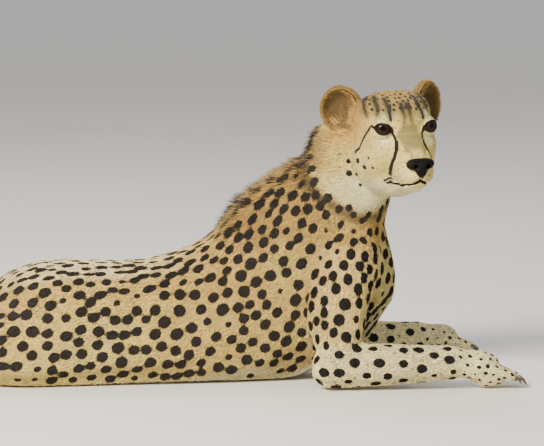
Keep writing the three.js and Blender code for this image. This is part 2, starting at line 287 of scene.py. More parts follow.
def region_of(node):
    """The region of the coat that a CAD node of flesh belongs to, or None."""
    for start, region in list(NODE_REGIONS.items()) + [(name, name) for name in REGIONS]:
        if node.startswith(start):
            return region
    return None


def from_bones(points):
    """How far each point is from each bone's surface, and how far along the bone, from 0 to 1."""
    gaps = np.empty((len(points), len(BONES)))
    along = np.empty_like(gaps)
    for i, (_, start, end, radius) in enumerate(BONES):
        base = np.array(start)
        way = np.array(end - start)
        t = np.clip((points - base) @ way / (way @ way), 0.0, 1.0)
        gaps[:, i] = np.linalg.norm(points - base - t[:, None] * way, axis=1) - radius
        along[:, i] = t
    return gaps, along


# ------------------------------------------------------------------ forms as fields, in millimetres
def ball(points, centre, radii, turn=None):
    """The signed distance to an ellipsoid, nearly."""
    local = points - np.array(centre, float)
    if turn is not None:
        local = local @ turn
    radii = np.array(radii, float)
    reach = np.linalg.norm(local / radii, axis=-1)
    steep = np.linalg.norm(local / radii / radii, axis=-1)
    return reach * (reach - 1) / np.maximum(steep, 1e-9)


def rod(points, start, end, first, last):
    """The signed distance to a tapered rod with round ends."""
    base = np.array(start, float)
    way = np.array(end, float) - base
    t = np.clip((points - base) @ way / max(way @ way, 1e-9), 0.0, 1.0)
    radius = first + (last - first) * t
    return np.linalg.norm(points - base - t[..., None] * way, axis=-1) - radius


def melt(softness, *fields):
    """Fields joined with soft creases."""
    return -softness * np.log(sum(np.exp(-field / softness) for field in fields))


def carve(softness, field, *cutters):
    """A field with others cut out of it."""
    return -melt(softness, -field, *cutters)


def fold(points):
    """Both halves of the head brought to its left side."""
    return points * (1, 0, 1) + np.abs(points) * (0, 1, 0)


def mesh_from_field(name, field, low, high, grain):
    """The closed surface of a field given in the head's axes, between two corners, as a mesh."""
    axes = [np.arange(a, b, grain) for a, b in zip(low, high)]
    grid = np.stack(np.meshgrid(*axes, indexing="ij"), axis=-1)
    values = field(grid).astype(np.float32)
    points, quads = surface_of(values, low, grain, 0.0)
    return mesh_of(name, from_head(points), quads)


# ------------------------------------------------------------------ level sets and meshes
def surface_of(values, low, grain, level):
    """Points and outward quads where a block of values crosses a level."""
    grid = openvdb.FloatGrid(float(values.max()))
    grid.copyFromArray(values)
    points, quads = grid.convertToQuads(level)
    points = points.astype(float) * grain + np.array(low, float)
    quads = quads.astype(np.int64)
    a, b, c, d = (points[quads[:, k]] for k in range(4))
    volume = np.einsum("ij,ij->", a, np.cross(b, c)) + np.einsum("ij,ij->", a, np.cross(c, d))
    return points, quads if volume > 0 else quads[:, ::-1]


def mesh_of(name, points, faces):
    """A smooth-shaded mesh from arrays of points and faces."""
    mesh = bpy.data.meshes.new(name)
    mesh.from_pydata(points.tolist(), [], faces.tolist())
    mesh.update()
    mesh.shade_smooth()
    return mesh


def arrays_of(mesh):
    """A mesh's points, normals and edges."""
    points = read(mesh.vertices, "co", width=3)
    normals = read(mesh.vertex_normals, "vector", width=3)
    return points, normals, read(mesh.edges, "vertices", np.int64, 2)


def first_corners(mesh):
    """The number of the first point of each of a mesh's faces."""
    corners = read(mesh.loops, "vertex_index", np.int32)
    return corners[read(mesh.polygons, "loop_start", np.int32)]


def put_points(mesh, points):
    """Moves a mesh's points."""
    mesh.vertices.foreach_set("co", points.ravel())
    mesh.update()


def neighbour_mean(values, edges):
    """The mean of each point's neighbours."""
    count = np.bincount(edges.ravel(), minlength=len(values)).astype(float)
    total = np.empty_like(values)
    for k in range(values.shape[1]):
        total[:, k] = np.bincount(edges[:, 0], values[edges[:, 1], k], len(values))
        total[:, k] += np.bincount(edges[:, 1], values[edges[:, 0], k], len(values))
    return total / np.maximum(count, 1)[:, None]


def smooth(points, edges, weight, rounds):
    """Evens the points out without shrinking them: each round draws in, then lets out."""
    for _ in range(rounds):
        for strength in (0.55, -0.57):
            drawn = neighbour_mean(points, edges) - points
            points = points + (strength * weight)[:, None] * drawn
    return points


def ramp(values, low, high):
    """0 below low, 1 above high, smooth between."""
    t = np.clip((values - low) / (high - low), 0.0, 1.0)
    return t * t * (3 - 2 * t)


def fading(points, place, size):
    """1 at a place, fading to 0 round it."""
    return np.exp(-np.sum(((points - place) / size) ** 2, axis=1))


def patches(points, table):
    """The sum of several fading patches, given as rows of amount, place and size."""
    return sum(amount * fading(points, place, size) for amount, place, size in table)


def band(gaps, width):
    """1 on a line, fading to 0 beside it."""
    return np.exp(-((gaps / width) ** 2))


def blur(values, cells):
    """A Gaussian blur of a block of values."""
    reach = int(math.ceil(cells * 2.5))
    weights = np.exp(-0.5 * (np.arange(-reach, reach + 1) / cells) ** 2)
    weights /= weights.sum()
    for axis in range(3):
        rims = [(reach, reach) if k == axis else (0, 0) for k in range(3)]
        padded = np.pad(values, rims, mode="edge")
        total = np.zeros_like(values)
        for i, weight in enumerate(weights):
            window = [slice(None)] * 3
            window[axis] = slice(i, i + values.shape[axis])
            total += weight * padded[tuple(window)]
        values = total
    return values


def paint(mesh, name, values):
    """Stores one number or vector for each of a mesh's points."""
    vector = np.ndim(values) == 2
    attribute = mesh.attributes.new(name, "FLOAT_VECTOR" if vector else "FLOAT", "POINT")
    flat = np.ascontiguousarray(values, np.float32).ravel()
    attribute.data.foreach_set("vector" if vector else "value", flat)


def linked(name, mesh):
    """A new object of the scene, riding on the model's one body."""
    piece = bpy.data.objects.new(name, mesh)
    bpy.context.scene.collection.objects.link(piece)
    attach(piece, "root")
    return piece


# ------------------------------------------------------------------ skin of the body
HARD_NODES = ("claw", "nose", "ear")  # made on their own, not part of the body's skin
BAND = 9  # cells of the level set on each side of the surface


def gathered(names):
    """The points and triangles of several CAD nodes as one, and how many triangles each has."""
    points, faces, count = [], [], 0
    for name in names:
        mesh = frame["nodes"][name].data
        mesh.calc_loop_triangles()
        points.append(node_points(name))
        faces.append(read(mesh.loop_triangles, "vertices", np.int64, 3) + count)
        count += len(points[-1])
    return np.concatenate(points), np.concatenate(faces), [len(rows) for rows in faces]


def flesh_level_set(voxel, gap):
    """The body's solids as one block of distances, with the cuts between them closed."""
    soft = [name for name in frame["nodes"] if not name.startswith(HARD_NODES)]
    points, faces, _ = gathered(soft)
    transform = openvdb.createLinearTransform(voxelSize=voxel)
    solids = openvdb.FloatGrid.createLevelSetFromPolygons(
        points.astype(np.float32), triangles=faces.astype(np.uint32), transform=transform,
        halfWidth=BAND,
    )
    wide_points, wide_quads = solids.convertToQuads(gap / 2)
    wide = openvdb.FloatGrid.createLevelSetFromPolygons(
        wide_points, quads=wide_quads, transform=transform, halfWidth=BAND
    )
    low, high = (np.array(corner) for corner in wide.evalActiveVoxelBoundingBox())
    values = np.empty(tuple(high - low + 1), np.float32)
    wide.copyToArray(values, ijk=tuple(int(n) for n in low))
    return values + gap / 2, low * voxel


def sampled(block, places):
    """The value of a block, given as values, low corner and spacing, at any places."""
    values, low, spacing = block
    cell = (places - low) / spacing
    cell = np.clip(cell, 0, np.array(values.shape) - 1.001)
    base = cell.astype(np.int64)
    part = (cell - base).astype(np.float32)
    total = np.zeros(len(places), np.float32)
    for corner in np.ndindex(2, 2, 2):
        share = np.ones(len(places), np.float32)
        for axis in range(3):
            share *= part[:, axis] if corner[axis] else 1 - part[:, axis]
        i, j, k = (base + corner).T
        total += share * values[i, j, k]
    return total


def coarser(block, spacing):
    """The same block with a wider spacing."""
    values, low, old = block
    axes = [np.arange(0, (size - 1) * old, spacing) for size in values.shape]
    grid = np.stack(np.meshgrid(*axes, indexing="ij"), axis=-1).reshape(-1, 3) + low
    return sampled(block, grid).reshape([len(axis) for axis in axes]), low, spacing


def settle(mesh, block, weight):
    """Moves the mesh's points on to the block's surface, as far as their weight says."""
    for _ in range(2):
        points, normals, _ = arrays_of(mesh)
        put_points(mesh, points - normals * (weight * sampled(block, points))[:, None])


SOFT_BLUR = 1.1  # cells
SHARP_BLUR = 0.6
HOLLOW = (0.12 * MM, 0.32 * MM)  # the depth at which a hollow is kept a little, and in full
BROAD_ROUNDS = 24  # in which the broad forms are evened out


def body_skin(settings):
    """The body's skin at the solids' outer faces, evened out where it is broad, and two blocks of
    distances to them, a soft one and a sharp one."""
    values, low = flesh_level_set(settings.voxel, settings.gap)
    block = (blur(values, SOFT_BLUR), low, settings.voxel)
    points, quads = surface_of(*coarser(block, settings.grain), 0.0)
    mesh = mesh_of("skin", points, quads)
    points, normals, edges = arrays_of(mesh)
    gaps, _ = from_bones(points)
    finer = ("head", "forepaw", "hindpaw", "tail")
    small = [i for i, bone in enumerate(BONES) if bone[0] in finer]
    broad = ramp(gaps[:, small].min(axis=1), -0.005, 0.03)
    points = smooth(points, edges, 0.35 + 0.65 * broad, 4)
    put_points(mesh, points)
    points, normals, edges = arrays_of(mesh)
    hollow = np.einsum("ij,ij->i", neighbour_mean(points, edges) - points, normals)
    weight = broad * (1 - ramp(neighbour_mean(hollow[:, None], edges)[:, 0], *HOLLOW))
    for _ in range(3):
        weight = neighbour_mean(weight[:, None], edges)[:, 0]
    put_points(mesh, smooth(points, edges, weight, BROAD_ROUNDS))
    return mesh, block, (blur(values, SHARP_BLUR), low, settings.voxel)


def refine(mesh, chosen):
    """Divides the faces whose points are all chosen."""
    work = bmesh.new()
    work.from_mesh(mesh)
    work.verts.ensure_lookup_table()
    edges = [edge for edge in work.edges if all(chosen[vert.index] for vert in edge.verts)]
    bmesh.ops.subdivide_edges(work, edges=edges, cuts=1, use_grid_fill=True)
    work.to_mesh(mesh)
    work.free()
    mesh.update()


# ------------------------------------------------------------------ the face
MOUTH = (
    (67, 0, -65), (64, 6, -70), (55, 16, -74), (38, 22, -78), (20, 24, -81), (6, 26, -82),
    (-3, 28, -79),
)
PHILTRUM = ((78, 0, -54), (70, 0, -62), (67, 0, -65))
TEAR_LINE = ((5, 28, 9), (10, 25, -4), (16, 23, -14), (23, 26, -23), (28, 32, -35), (26, 36, -49),
             (14, 33, -60), (3, 29, -68))
TEAR_DASHES = (((-11, 34, -80), (2, 26, -74)), ((-9, 31, -84), (4, 24, -78)))
EYE_TAIL = ((-6, 53, 9), (-16, 52, 10), (-26, 52, 9), (-30, 57, 0), (-35, 62, -12), (-38, 65, -25),
            (-45, 67, -33), (-57, 69, -40))
BROW_MARK = ((-18, 22, 44), (-9, 26, 35), (2, 28, 22))
STREAKS = (
    ((-13, 5, 45), (6, 5, 26), (16, 9, 3), (30, 12, -12), (40, 14, -22)),
    ((-32, 26, 50), (-12, 26, 38), (0, 28, 24)),
    ((-50, 38, 52), (-26, 40, 40), (-16, 44, 28)),
    ((-70, 46, 50), (-46, 54, 34), (-34, 58, 22)),
)  # brown streaks of the forehead; the first, down the bridge of the nose, is painted shade
CHEEK_SPOTS = (
    # place and radius
    ((-70, 75, -58), 3.6), ((-45, 68, -51), 3.6), ((-29, 61, -60), 3.0), ((-68, 74, -77), 4.6),
    ((-77, 86, -49), 3.0), ((-15, 52, -59), 1.6), ((-18, 59, -42), 1.4), ((-60, 56, -96), 2.4),
    ((-56, 67, -77), 3.0), ((-80, 89, -67), 2.2), ((-119, 105, -27), 3.0), ((-98, 95, -62), 2.6),
    ((-86, 99, -95), 2.2), ((-104, 98, -44), 2.6),
)
FACE_SWELLS = (
    # how far out, place, size
    (2.2, (-6, 34, 25), (14, 18, 7)),  # brow
    (1.8, (50, 16, -62), (14, 10, 10)),  # whisker pad
    (1.2, (34, 8, -88), (12, 14, 6)),  # chin
    (-2.2, (6, 22, 3), (8, 5, 7)),  # inner corner of the eye
    (-1.0, (-34, 0, 52), (34, 6, 26)),  # furrow of the forehead
    (-1.2, (-30, 58, -2), (16, 12, 12)),  # temple
    (1.2, (-10, 48, -22), (20, 12, 10)),  # cheekbone
)
NOSE_PLACE = (66, 0, -42)  # the middle of the nose pad's bed
LID_OPEN = (14.4, 6.0, 7.4)  # half the opening's width, and its height above and below the middle
LID_TILT = math.radians(9.0)  # the outer corner is the higher one
LID_CENTRE = math.radians(12.0)  # the opening's middle over the level of the eyeball
LID_ROLL = 1.2  # how far the lids' edges stand out
LID_DEPTH = 5.0  # how far the skin turns in behind the eyeball's surface within the opening
FACE_BACK = 135  # how far back of the head's origin the face's marks reach
FACE_REACH = 175  # and how far from it
LINE_STEP = 1.5  # between the steps of a line laid on the face
LEVEL_REACH = 15  # from a line, within which points lie over or under it


def face_points(points):
    """The face's points, folded to the left side of the head, and their numbers."""
    left = fold(to_head(points))
    face = np.flatnonzero((left[:, 0] > -FACE_BACK) & (np.linalg.norm(left, axis=1) < FACE_REACH))
    return left[face], face


def face_tree(left):
    """A search tree over the skin's points on the left half of the head."""
    near = (left[:, 1] >= -1) & (left[:, 0] > -FACE_BACK) & (left[:, 0] < 95)
    return search_tree(left[near].tolist())


def laid(line, tree):
    """A line of the left half of the face laid down on the skin's own points, finely stepped."""
    path = np.array(line, float)
    for _ in range(2):
        steps = [path[0]]
        for start, end in zip(path, path[1:]):
            count = max(1, int(np.linalg.norm(end - start) / LINE_STEP))
            steps += [start + (end - start) * (i + 1) / count for i in range(count)]
        path = np.array([tree.find(step)[0] for step in steps])
        for _ in range(3):
            path[1:-1] = (path[:-2] + 2 * path[1:-1] + path[2:]) / 4
    return path


def to_path(points, path):
    """The distance from points to a finely stepped path."""
    least = np.full(len(points), np.inf)
    for step in path:
        least = np.minimum(least, np.einsum("ij,ij->i", points - step, points - step))
    return np.sqrt(least)


def level_over(points, path):
    """How high each point lies over the nearest point of a path."""
    tree = search_tree(path.tolist())
    near = np.flatnonzero(to_path(points, path) < LEVEL_REACH)
    level = np.ones(len(points))
    level[near] = [point[2] - tree.find(point)[0][2] for point in points[near].tolist()]
    return level


def to_line(points, line, tree):
    """The distance from points of the face's left half to a line laid on it."""
    return to_path(points, laid(line, tree))


def lid_margin(local, divergence):
    """For points of the left half of the head: how far round the eyeball each lies outside the
    lids' opening, in mm, its distance from the eyeball's centre, and whether it is on its front."""
    gaze = np.array((math.cos(divergence), math.sin(divergence), math.sin(LID_CENTRE)))
    gaze /= np.linalg.norm(gaze)
    outward = np.cross((0, 0, 1), gaze)
    outward /= np.linalg.norm(outward)
    upward = np.cross(gaze, outward)
    offset = local - EYE_CENTRE
    reach = np.linalg.norm(offset, axis=1)
    ahead = offset @ gaze
    turn = np.arctan2(np.linalg.norm(np.cross(offset, gaze), axis=1), ahead)
    across = offset @ outward
    over = offset @ upward
    flat = np.maximum(np.hypot(across, over), 1e-6)
    radius = EYE_RADIUS * turn
    across, over = radius * across / flat, radius * over / flat
    tilted_across = across * math.cos(LID_TILT) + over * math.sin(LID_TILT)
    tilted_over = -across * math.sin(LID_TILT) + over * math.cos(LID_TILT)
    half, above, below = LID_OPEN
    way = np.minimum(np.abs(tilted_across) / half, 1.0)
    limit = np.where(tilted_over > 0, above * (1 - way**3.0), below * (1 - way**2.1))
    margin = np.abs(tilted_over) - limit
    beyond = np.abs(tilted_across) - half
    margin = np.where(beyond > 0, np.hypot(np.maximum(beyond, 0), tilted_over), margin)
    return margin, reach, turn < 1.9


def sculpt_lids(points, settings, divergence):
    """Lays the skin over the eyeballs as lids, and opens it between them."""
    local = to_head(points)
    left = fold(local)
    margin, reach, front = lid_margin(left, divergence)
    clear = EYE_RADIUS + settings.lid / MM
    lid = clear + LID_ROLL * band(margin - 2.2, 1.8)
    behind = EYE_RADIUS - LID_DEPTH
    wanted = behind + (lid - behind) * ramp(margin, -0.7, 0.7)
    hold = front * (1 - ramp(margin, 3.0, 13.0))
    wanted = reach + hold * (wanted - reach)
    wanted = np.where(front & (margin > 1.0), np.maximum(wanted, clear), wanted)
    moved = EYE_CENTRE + (left - EYE_CENTRE) * (wanted / np.maximum(reach, 1e-6))[:, None]
    moved[:, 1] *= np.where(local[:, 1] < 0, -1.0, 1.0)
    changed = wanted != reach
    points = points.copy()
    points[changed] = from_head(moved[changed])
    return points


def sculpt_face(points, normals, settings):
    """Moves the face's points in or out: brows, whisker pads, lips, nose bed and inner corners."""
    left = fold(to_head(points))
    face = left[:, 0] > -70
    out = patches(left, FACE_SWELLS)
    groove = settings.lip_groove / MM
    tree = face_tree(left)
    mouth = laid(MOUTH, tree)
    gap = to_path(left, mouth)
    below = level_over(left, mouth) < 0
    out -= groove * band(gap, 2.1)
    out += 1.6 * band(gap - 4.5, 3.0) * below
    out -= 0.7 * groove * band(to_line(left, PHILTRUM, tree), 1.6)
    nose_bed = ball(left, NOSE_PLACE, (16, 22, 12))
    out -= 4.5 * (1 - ramp(nose_bed, -3.0, 0.5))
    out += 1.5 * band(nose_bed - 3.0, 2.5) * ramp(left[:, 2], -48, -40)
    return points + normals * (out * face * MM)[:, None]


# ------------------------------------------------------------------ toes
TOE_LENGTH = 0.040
TOE_CREASE = (0.0030, 0.0028)  # depth of the creases between the toes, and half their width
TOES_FROM = 0.45  # of the paw's length, from its wrist or hock
PAW_BONES = [bone for bone in BONES if bone[0] in ("forepaw", "hindpaw")]


def toe_creases(points, normals):
    """How much each point lies in a crease between two toes, from 0 to 1."""
    depth = np.zeros(len(points))
    level = points * (1, 1, 0)
    claw_places = [middle(name) for name in frame["nodes"] if name.startswith("claw")]
    for _, start, end, _ in PAW_BONES:
        claws = sorted(claw_places, key=lambda place: (place - end).length)[:4]
        across = (end - start).cross(Vector((0, 0, 1)))
        claws.sort(key=across.dot)
        for first, second in zip(claws, claws[1:]):
            tip = (first + second) / 2
            back = tip + (start - tip).normalized() * TOE_LENGTH
            far = rod(level, (tip.x, tip.y, 0), (back.x, back.y, 0), 0, 0)
            near = band(far, TOE_CREASE[1]) * (points[:, 2] < tip.z + 0.035)
            depth = np.maximum(depth, near * ramp(normals[:, 2], -0.5, 0.1))
    return depth


# ------------------------------------------------------------------ ears
EAR_OUTER = (20.0, 35.0, 38.0)  # half sizes of the ear's back
EAR_HOLLOW = (21.0, 31.0, 34.0)  # and of its cup
EAR_CUP = np.array((6.5, 0.0, 1.0))  # the cup's middle from the ear's, along the ear's axes
EAR_FOOT = np.array((16.0, 0.0, -30.0))  # from the cup's middle to where it opens on to the cheek
EAR_GRAIN = 2.1
EAR_ROOM = (34, 48, 48)  # half the block that an ear's form is worked out in
EAR_TURN = (34.0, 4.0, -14.0)  # yaw, pitch and roll, in degrees


def turned(yaw, pitch, roll):
    """The axes of a form turned by yaw, then pitch, then roll."""
    about_z = Matrix.Rotation(math.radians(yaw), 3, "Z")
    about_y = Matrix.Rotation(math.radians(-pitch), 3, "Y")
    about_x = Matrix.Rotation(math.radians(roll), 3, "X")
    return np.array(about_z @ about_y @ about_x)


def ear_axes(tag, side):
    """An ear's middle in the head's axes, and the ear's own axes."""
    yaw, pitch, roll = EAR_TURN
    centre = to_head(np.array(middle(f"ear_{tag}"))[None])[0]
    return centre, turned(side * yaw, pitch, side * roll)


def ear_mesh(tag, side):
    """One ear: a round cup, open at its foot, with a fold of skin inside."""
    centre, turn = ear_axes(tag, side)
    cup = centre + turn @ EAR_CUP

    def field(points):
        back = ball(points, centre, EAR_OUTER, turn)
        hollow = ball(points, cup, EAR_HOLLOW, turn)
        foot = rod(points, cup, cup + turn @ EAR_FOOT, 18.0, 15.0)
        shell = carve(1.2, back, hollow, foot)
        fold_low = centre + turn @ np.array((-12.0, side * -6.0, -24.0))
        fold_high = centre + turn @ np.array((-15.0, side * 2.0, 6.0))
        return melt(2.5, shell, rod(points, fold_low, fold_high, 4.5, 1.5))

    return mesh_from_field(f"ear_{tag}", field, centre - EAR_ROOM, centre + EAR_ROOM, EAR_GRAIN)


# ------------------------------------------------------------------ what the coat needs to know
COAT_LENGTH = {
    "head": 5.5, "neck": 11.0, "trunk": 10.0, "tail": 12.0, "arm": 9.0, "forearm": 8.0,
    "forepaw": 5.0, "thigh": 10.0, "shank": 8.0, "hindpaw": 5.0,
}  # in mm
COAT_SINK = 0.34  # the skin's depth under the solids' faces, as a share of the coat's length


def flesh_tree():
    """A search tree over the solids of flesh, and the region number of each of its triangles."""
    names = [name for name in frame["nodes"] if region_of(name)]
    points, faces, counts = gathered(names)
    owners = np.repeat([REGIONS.index(region_of(name)) for name in names], counts)
    return BVHTree.FromPolygons(points.tolist(), faces.tolist()), owners


REGION_BLEND = 12  # rounds in which neighbouring regions melt into each other
BONE_SOFTNESS = 0.010  # how far the leads of two bones of one region mix


def region_shares(points, edges):
    """How much each region owns each point, adding up to 1 and blended at the cuts."""
    tree, owners = flesh_tree()
    nearest = np.array([tree.find_nearest(point)[2] for point in points.tolist()])
    table = np.eye(len(REGIONS))[owners[nearest]]
    for _ in range(REGION_BLEND):
        table = 0.5 * table + 0.5 * neighbour_mean(table, edges)
    share = {region: table[:, i] for i, region in enumerate(REGIONS)}
    both = share["head"] + share["neck"]
    share["head"] = both * inside_ruff(points)
    share["neck"] = both - share["head"]
    return share


RUFF_EDGE = ((0.774, 0.633, 138.0), (1.0, 0.0, 138.0))  # planes of the head: x, z and offset in mm


def ruff_depth(points):
    """How far inside the ruff's edge each point lies, in mm; less than 0 on the neck."""
    local = to_head(points)
    return np.minimum(*[x * local[:, 0] + z * local[:, 2] + offset for x, z, offset in RUFF_EDGE])


def inside_ruff(points):
    """1 on the head as far back as the ruff's edge, 0 on the neck."""
    return ramp(ruff_depth(points), -7.0, 7.0)


def bone_weights(points, share):
    """How much each bone leads the hair at each point."""
    gaps, _ = from_bones(points)
    weights = np.zeros_like(gaps)
    for region in REGIONS:
        own = [i for i, bone in enumerate(BONES) if bone[0] == region]
        near = gaps[:, own]
        near = np.exp(-np.clip(near - near.min(axis=1, keepdims=True), 0, 0.3) / BONE_SOFTNESS)
        near /= near.sum(axis=1, keepdims=True)
        weights[:, own] = near * share[region][:, None]
    return weights


def tangent(vectors, normals):
    """Vectors laid flat on a surface, of length 1."""
    flat = vectors - np.einsum("ij,ij->i", vectors, normals)[:, None] * normals
    return flat / np.maximum(np.linalg.norm(flat, axis=1), 1e-9)[:, None]


DROOP = (0.35, 0.25)  # how far the hair hangs down on the body and on the neck


def coat_lie(points, normals, weights, share):
    """Which way the hair lies at each point."""
    ways = np.array([(end - start).normalized() for _, start, end, _ in BONES])
    lie = weights @ ways
    from_nose = points - from_head((78, 0, -30))
    from_nose /= np.linalg.norm(from_nose, axis=1)[:, None]
    lie += 1.6 * share["head"][:, None] * (from_nose - lie)
    lie[:, 2] -= DROOP[0] * (share["trunk"] + share["thigh"]) + DROOP[1] * share["neck"]
    return tangent(lie, normals)


CREST_LENGTH = 22.0  # more than the coat round it, in mm
CREST_WIDTH = 0.042


def crest(points):
    """How much each point lies on the crest of the neck and the withers, from 0 to 1."""
    nape = joint("head", "neck") + Vector((-0.035, 0, 0.035))
    collar = joint("neck", "chest") + Vector((-0.05, 0, 0.085))
    waist = joint("chest", "loin")
    back = collar.lerp(waist, 0.45) + Vector((0, 0, 0.06))
    gaps = [rod(points, start, end, 0, 0) for start, end in ((nape, collar), (collar, back))]
    return band(np.minimum(*gaps), CREST_WIDTH)


def coat_length(points, share):
    """The hair's length at each point, in metres."""
    length = sum(share[region] * COAT_LENGTH[region] for region in REGIONS)
    local = to_head(points)
    face = share["head"] * ramp(local[:, 0], -45, 10)
    length -= 2.6 * face
    ruff = share["head"] * ramp(-local[:, 0], 35, 85) * ramp(-local[:, 2], 0, 50)
    length += 5.5 * ruff
    length += CREST_LENGTH * crest(points)
    tail_end = np.array([end for region, _, end, _ in BONES if region == "tail"][-1])
    tip = 1 - ramp(np.linalg.norm(points - tail_end, axis=1), 0.03, 0.12)
    length += 9.0 * share["tail"] * tip
    return length * MM


def resting(points, normals):
    """1 where the body is pressed on the floor."""
    return (1 - ramp(points[:, 2], 0.004, 0.016)) * ramp(-normals[:, 2], 0.2, 0.8)


# ------------------------------------------------------------------ markings
SPOT_PLAN = {
    # region: least distance between centres, radius, length against width; in mm
    "head": (8.0, 3.3, 1.5),
    "neck": (17.0, 10.6, 1.2),
    "trunk": (19.8, 11.4, 1.08),
    "tail": (20.0, 8.0, 1.1),
    "arm": (18.5, 10.2, 1.1),
    "forearm": (22.5, 8.8, 1.15),
    "forepaw": (11.0, 3.6, 1.1),
    "thigh": (20.2, 11.0, 1.08),
    "shank": (18.5, 8.4, 1.15),
    "hindpaw": (12.0, 3.4, 1.1),
}
TOP_SPOTS = (-4.5, -1.4, 0.75)  # what the plan changes by on the back
FRONT_SPOTS = (-1.0, -1.0, 0.0)  # and on the shoulders and breast
FLECK_PLAN = (6.2, 2.1)  # distance and radius of the freckles of the face, in mm
RELAX_ROUNDS = 2
SPOT_ROOM = 0.48  # the largest radius of a spot, as a share of the way to the next one
LARGE_SPOTS = (0.84, 1.14)  # sizes of most spots against the planned radius
SMALL_SPOTS = (0.5, 0.8)  # and of the small ones among them
SMALL_SHARE = 0.14
NO_SPOT = -1.0  # well outside every spot, or far from every one


def scatter(points, lie, spacing, stretch, seed):
    """Points picked at random, none nearer to another than its spacing, longer along the lie."""
    order = np.random.default_rng(seed).permutation(len(points))[:40000]
    chosen = []
    places = np.empty((4000, 3))
    for i in order:
        if not np.isfinite(spacing[i]):
            continue
        offset = places[: len(chosen)] - points[i]
        along = offset @ lie[i]
        across = np.einsum("ij,ij->i", offset, offset) - along**2
        gap = np.sqrt(along**2 / stretch[i] + across * stretch[i])
        if len(gap) and gap.min() < spacing[i]:
            continue
        places[len(chosen)] = points[i]
        chosen.append(i)
        if len(chosen) == len(places):
            break
    for _ in range(RELAX_ROUNDS):
        chosen = relaxed(points, chosen, spacing)
    return chosen


def relaxed(points, chosen, spacing):
    """The chosen points moved to the middle of the ground that is nearest to each."""
    tree = search_tree(points[chosen])
    ground = np.flatnonzero(np.isfinite(spacing))
    owner = np.array([tree.find(point)[1] for point in points[ground].tolist()])
    count = np.maximum(np.bincount(owner, minlength=len(chosen)), 1)
    sums = [np.bincount(owner, points[ground, k], len(chosen)) for k in range(3)]
    surface = search_tree(points[ground], ground.tolist())
    return [surface.find(place)[1] for place in (np.stack(sums, axis=1) / count[:, None]).tolist()]


def spot_field(points, lie, centres, radius, stretch, seed):
    """How deep each point lies in its nearest spot: 1 in the middle, 0 at the edge, else less."""
    rng = np.random.default_rng(seed)
    depth = np.full(len(points), NO_SPOT)
    tree = search_tree(points[centres])
    for i in centres:
        room = tree.find_n(points[i], 2)[1][2]
        large, small = rng.uniform(*LARGE_SPOTS), rng.uniform(*SMALL_SPOTS)
        size = radius[i] * rng.choice((large, small), p=(1 - SMALL_SHARE, SMALL_SHARE))
        size = min(size, SPOT_ROOM * room)
        pull = math.sqrt(stretch[i] * rng.uniform(0.9, 1.15))
        near = np.flatnonzero(np.abs(points - points[i]).max(axis=1) < 2 * size * pull)
        offset = points[near] - points[i]
        along = offset @ lie[i]
        across = np.einsum("ij,ij->i", offset, offset) - along**2
        reach = np.sqrt(along**2 / pull**2 + across * pull**2) / size
        depth[near] = np.maximum(depth[near], 1 - reach)
    return depth


def body_spots(points, normals, lie, share, settings):
    """The spots of body, legs, tail and crown, and the small faint flecks between them."""
    local = to_head(points)
    top = (share["trunk"] + share["thigh"]) * ramp(normals[:, 2], 0.35, 0.9)
    front = share["trunk"] * ramp(points[:, 0], CAD_BOX[0][0] + 0.72, CAD_BOX[0][0] + 0.86)
    spacing, radius, stretch = (
        sum(share[region] * SPOT_PLAN[region][k] for region in REGIONS)
        + TOP_SPOTS[k] * top + FRONT_SPOTS[k] * front
        for k in range(3)
    )
    belly = (share["trunk"] + share["thigh"]) * ramp(-normals[:, 2], 0.45, 0.8)
    low_or_ahead = (local[:, 2] < 30) | (local[:, 0] > -4) | (np.abs(local[:, 1]) > 50)
    face = (share["head"] > 0.5) & low_or_ahead
    under = (share["neck"] > 0.4) & (normals[:, 2] < -0.6)
    spacing = spacing * MM
    spacing[face | under | (belly > 0.5)] = np.inf
    radius = radius * MM * settings.spot_size
    centres = scatter(points, lie, spacing, stretch, 11)
    spots = spot_field(points, lie, centres, radius, stretch, 12)
    head = share["head"] > 0.5
    freckled = np.where((local[:, 2] > -80) & (local[:, 2] < 60), FLECK_PLAN[0] * MM, np.inf)
    round_ones = np.ones(len(points))
    fleck_spacing = np.where(head, freckled, 0.42 * spacing)
    fleck_centres = scatter(points, lie, fleck_spacing, round_ones, 21)
    fleck_radius = np.where(head, FLECK_PLAN[1] * MM, 0.18 * spacing.clip(0, 0.05))
    flecks = spot_field(points, lie, fleck_centres, fleck_radius, round_ones, 22)
    flecks[spots > -0.35] = NO_SPOT
    return spots, flecks


TAIL_RINGS = 6
RING_PITCH = 0.042
RING_WIDTH = 0.52  # of the pitch
RINGS_FROM = 0.065  # from the tail's end


def tail_rings(points, share):
    """Rings on the last part of the tail, and how white its end is."""
    tail = [i for i, bone in enumerate(BONES) if bone[0] == "tail"]
    lengths = np.array([(BONES[i][2] - BONES[i][1]).length for i in tail])
    gaps, along = from_bones(points)
    nearest = gaps[:, tail].argmin(axis=1)
    run = (np.cumsum(lengths) - lengths)[nearest]
    run = run + along[np.arange(len(points)), tail[0] + nearest] * lengths[nearest]
    left = lengths.sum() - run
    phase = (left - RINGS_FROM) / RING_PITCH
    ring = 1 - np.abs((phase % 1.0) - 0.5) * 2 / RING_WIDTH
    ring = np.where((phase > 0) & (phase < TAIL_RINGS), ring, NO_SPOT)
    tip = share["tail"] * (1 - ramp(left, 0.045, 0.075))
    return np.where(share["tail"] > 0.6, ring, NO_SPOT), tip


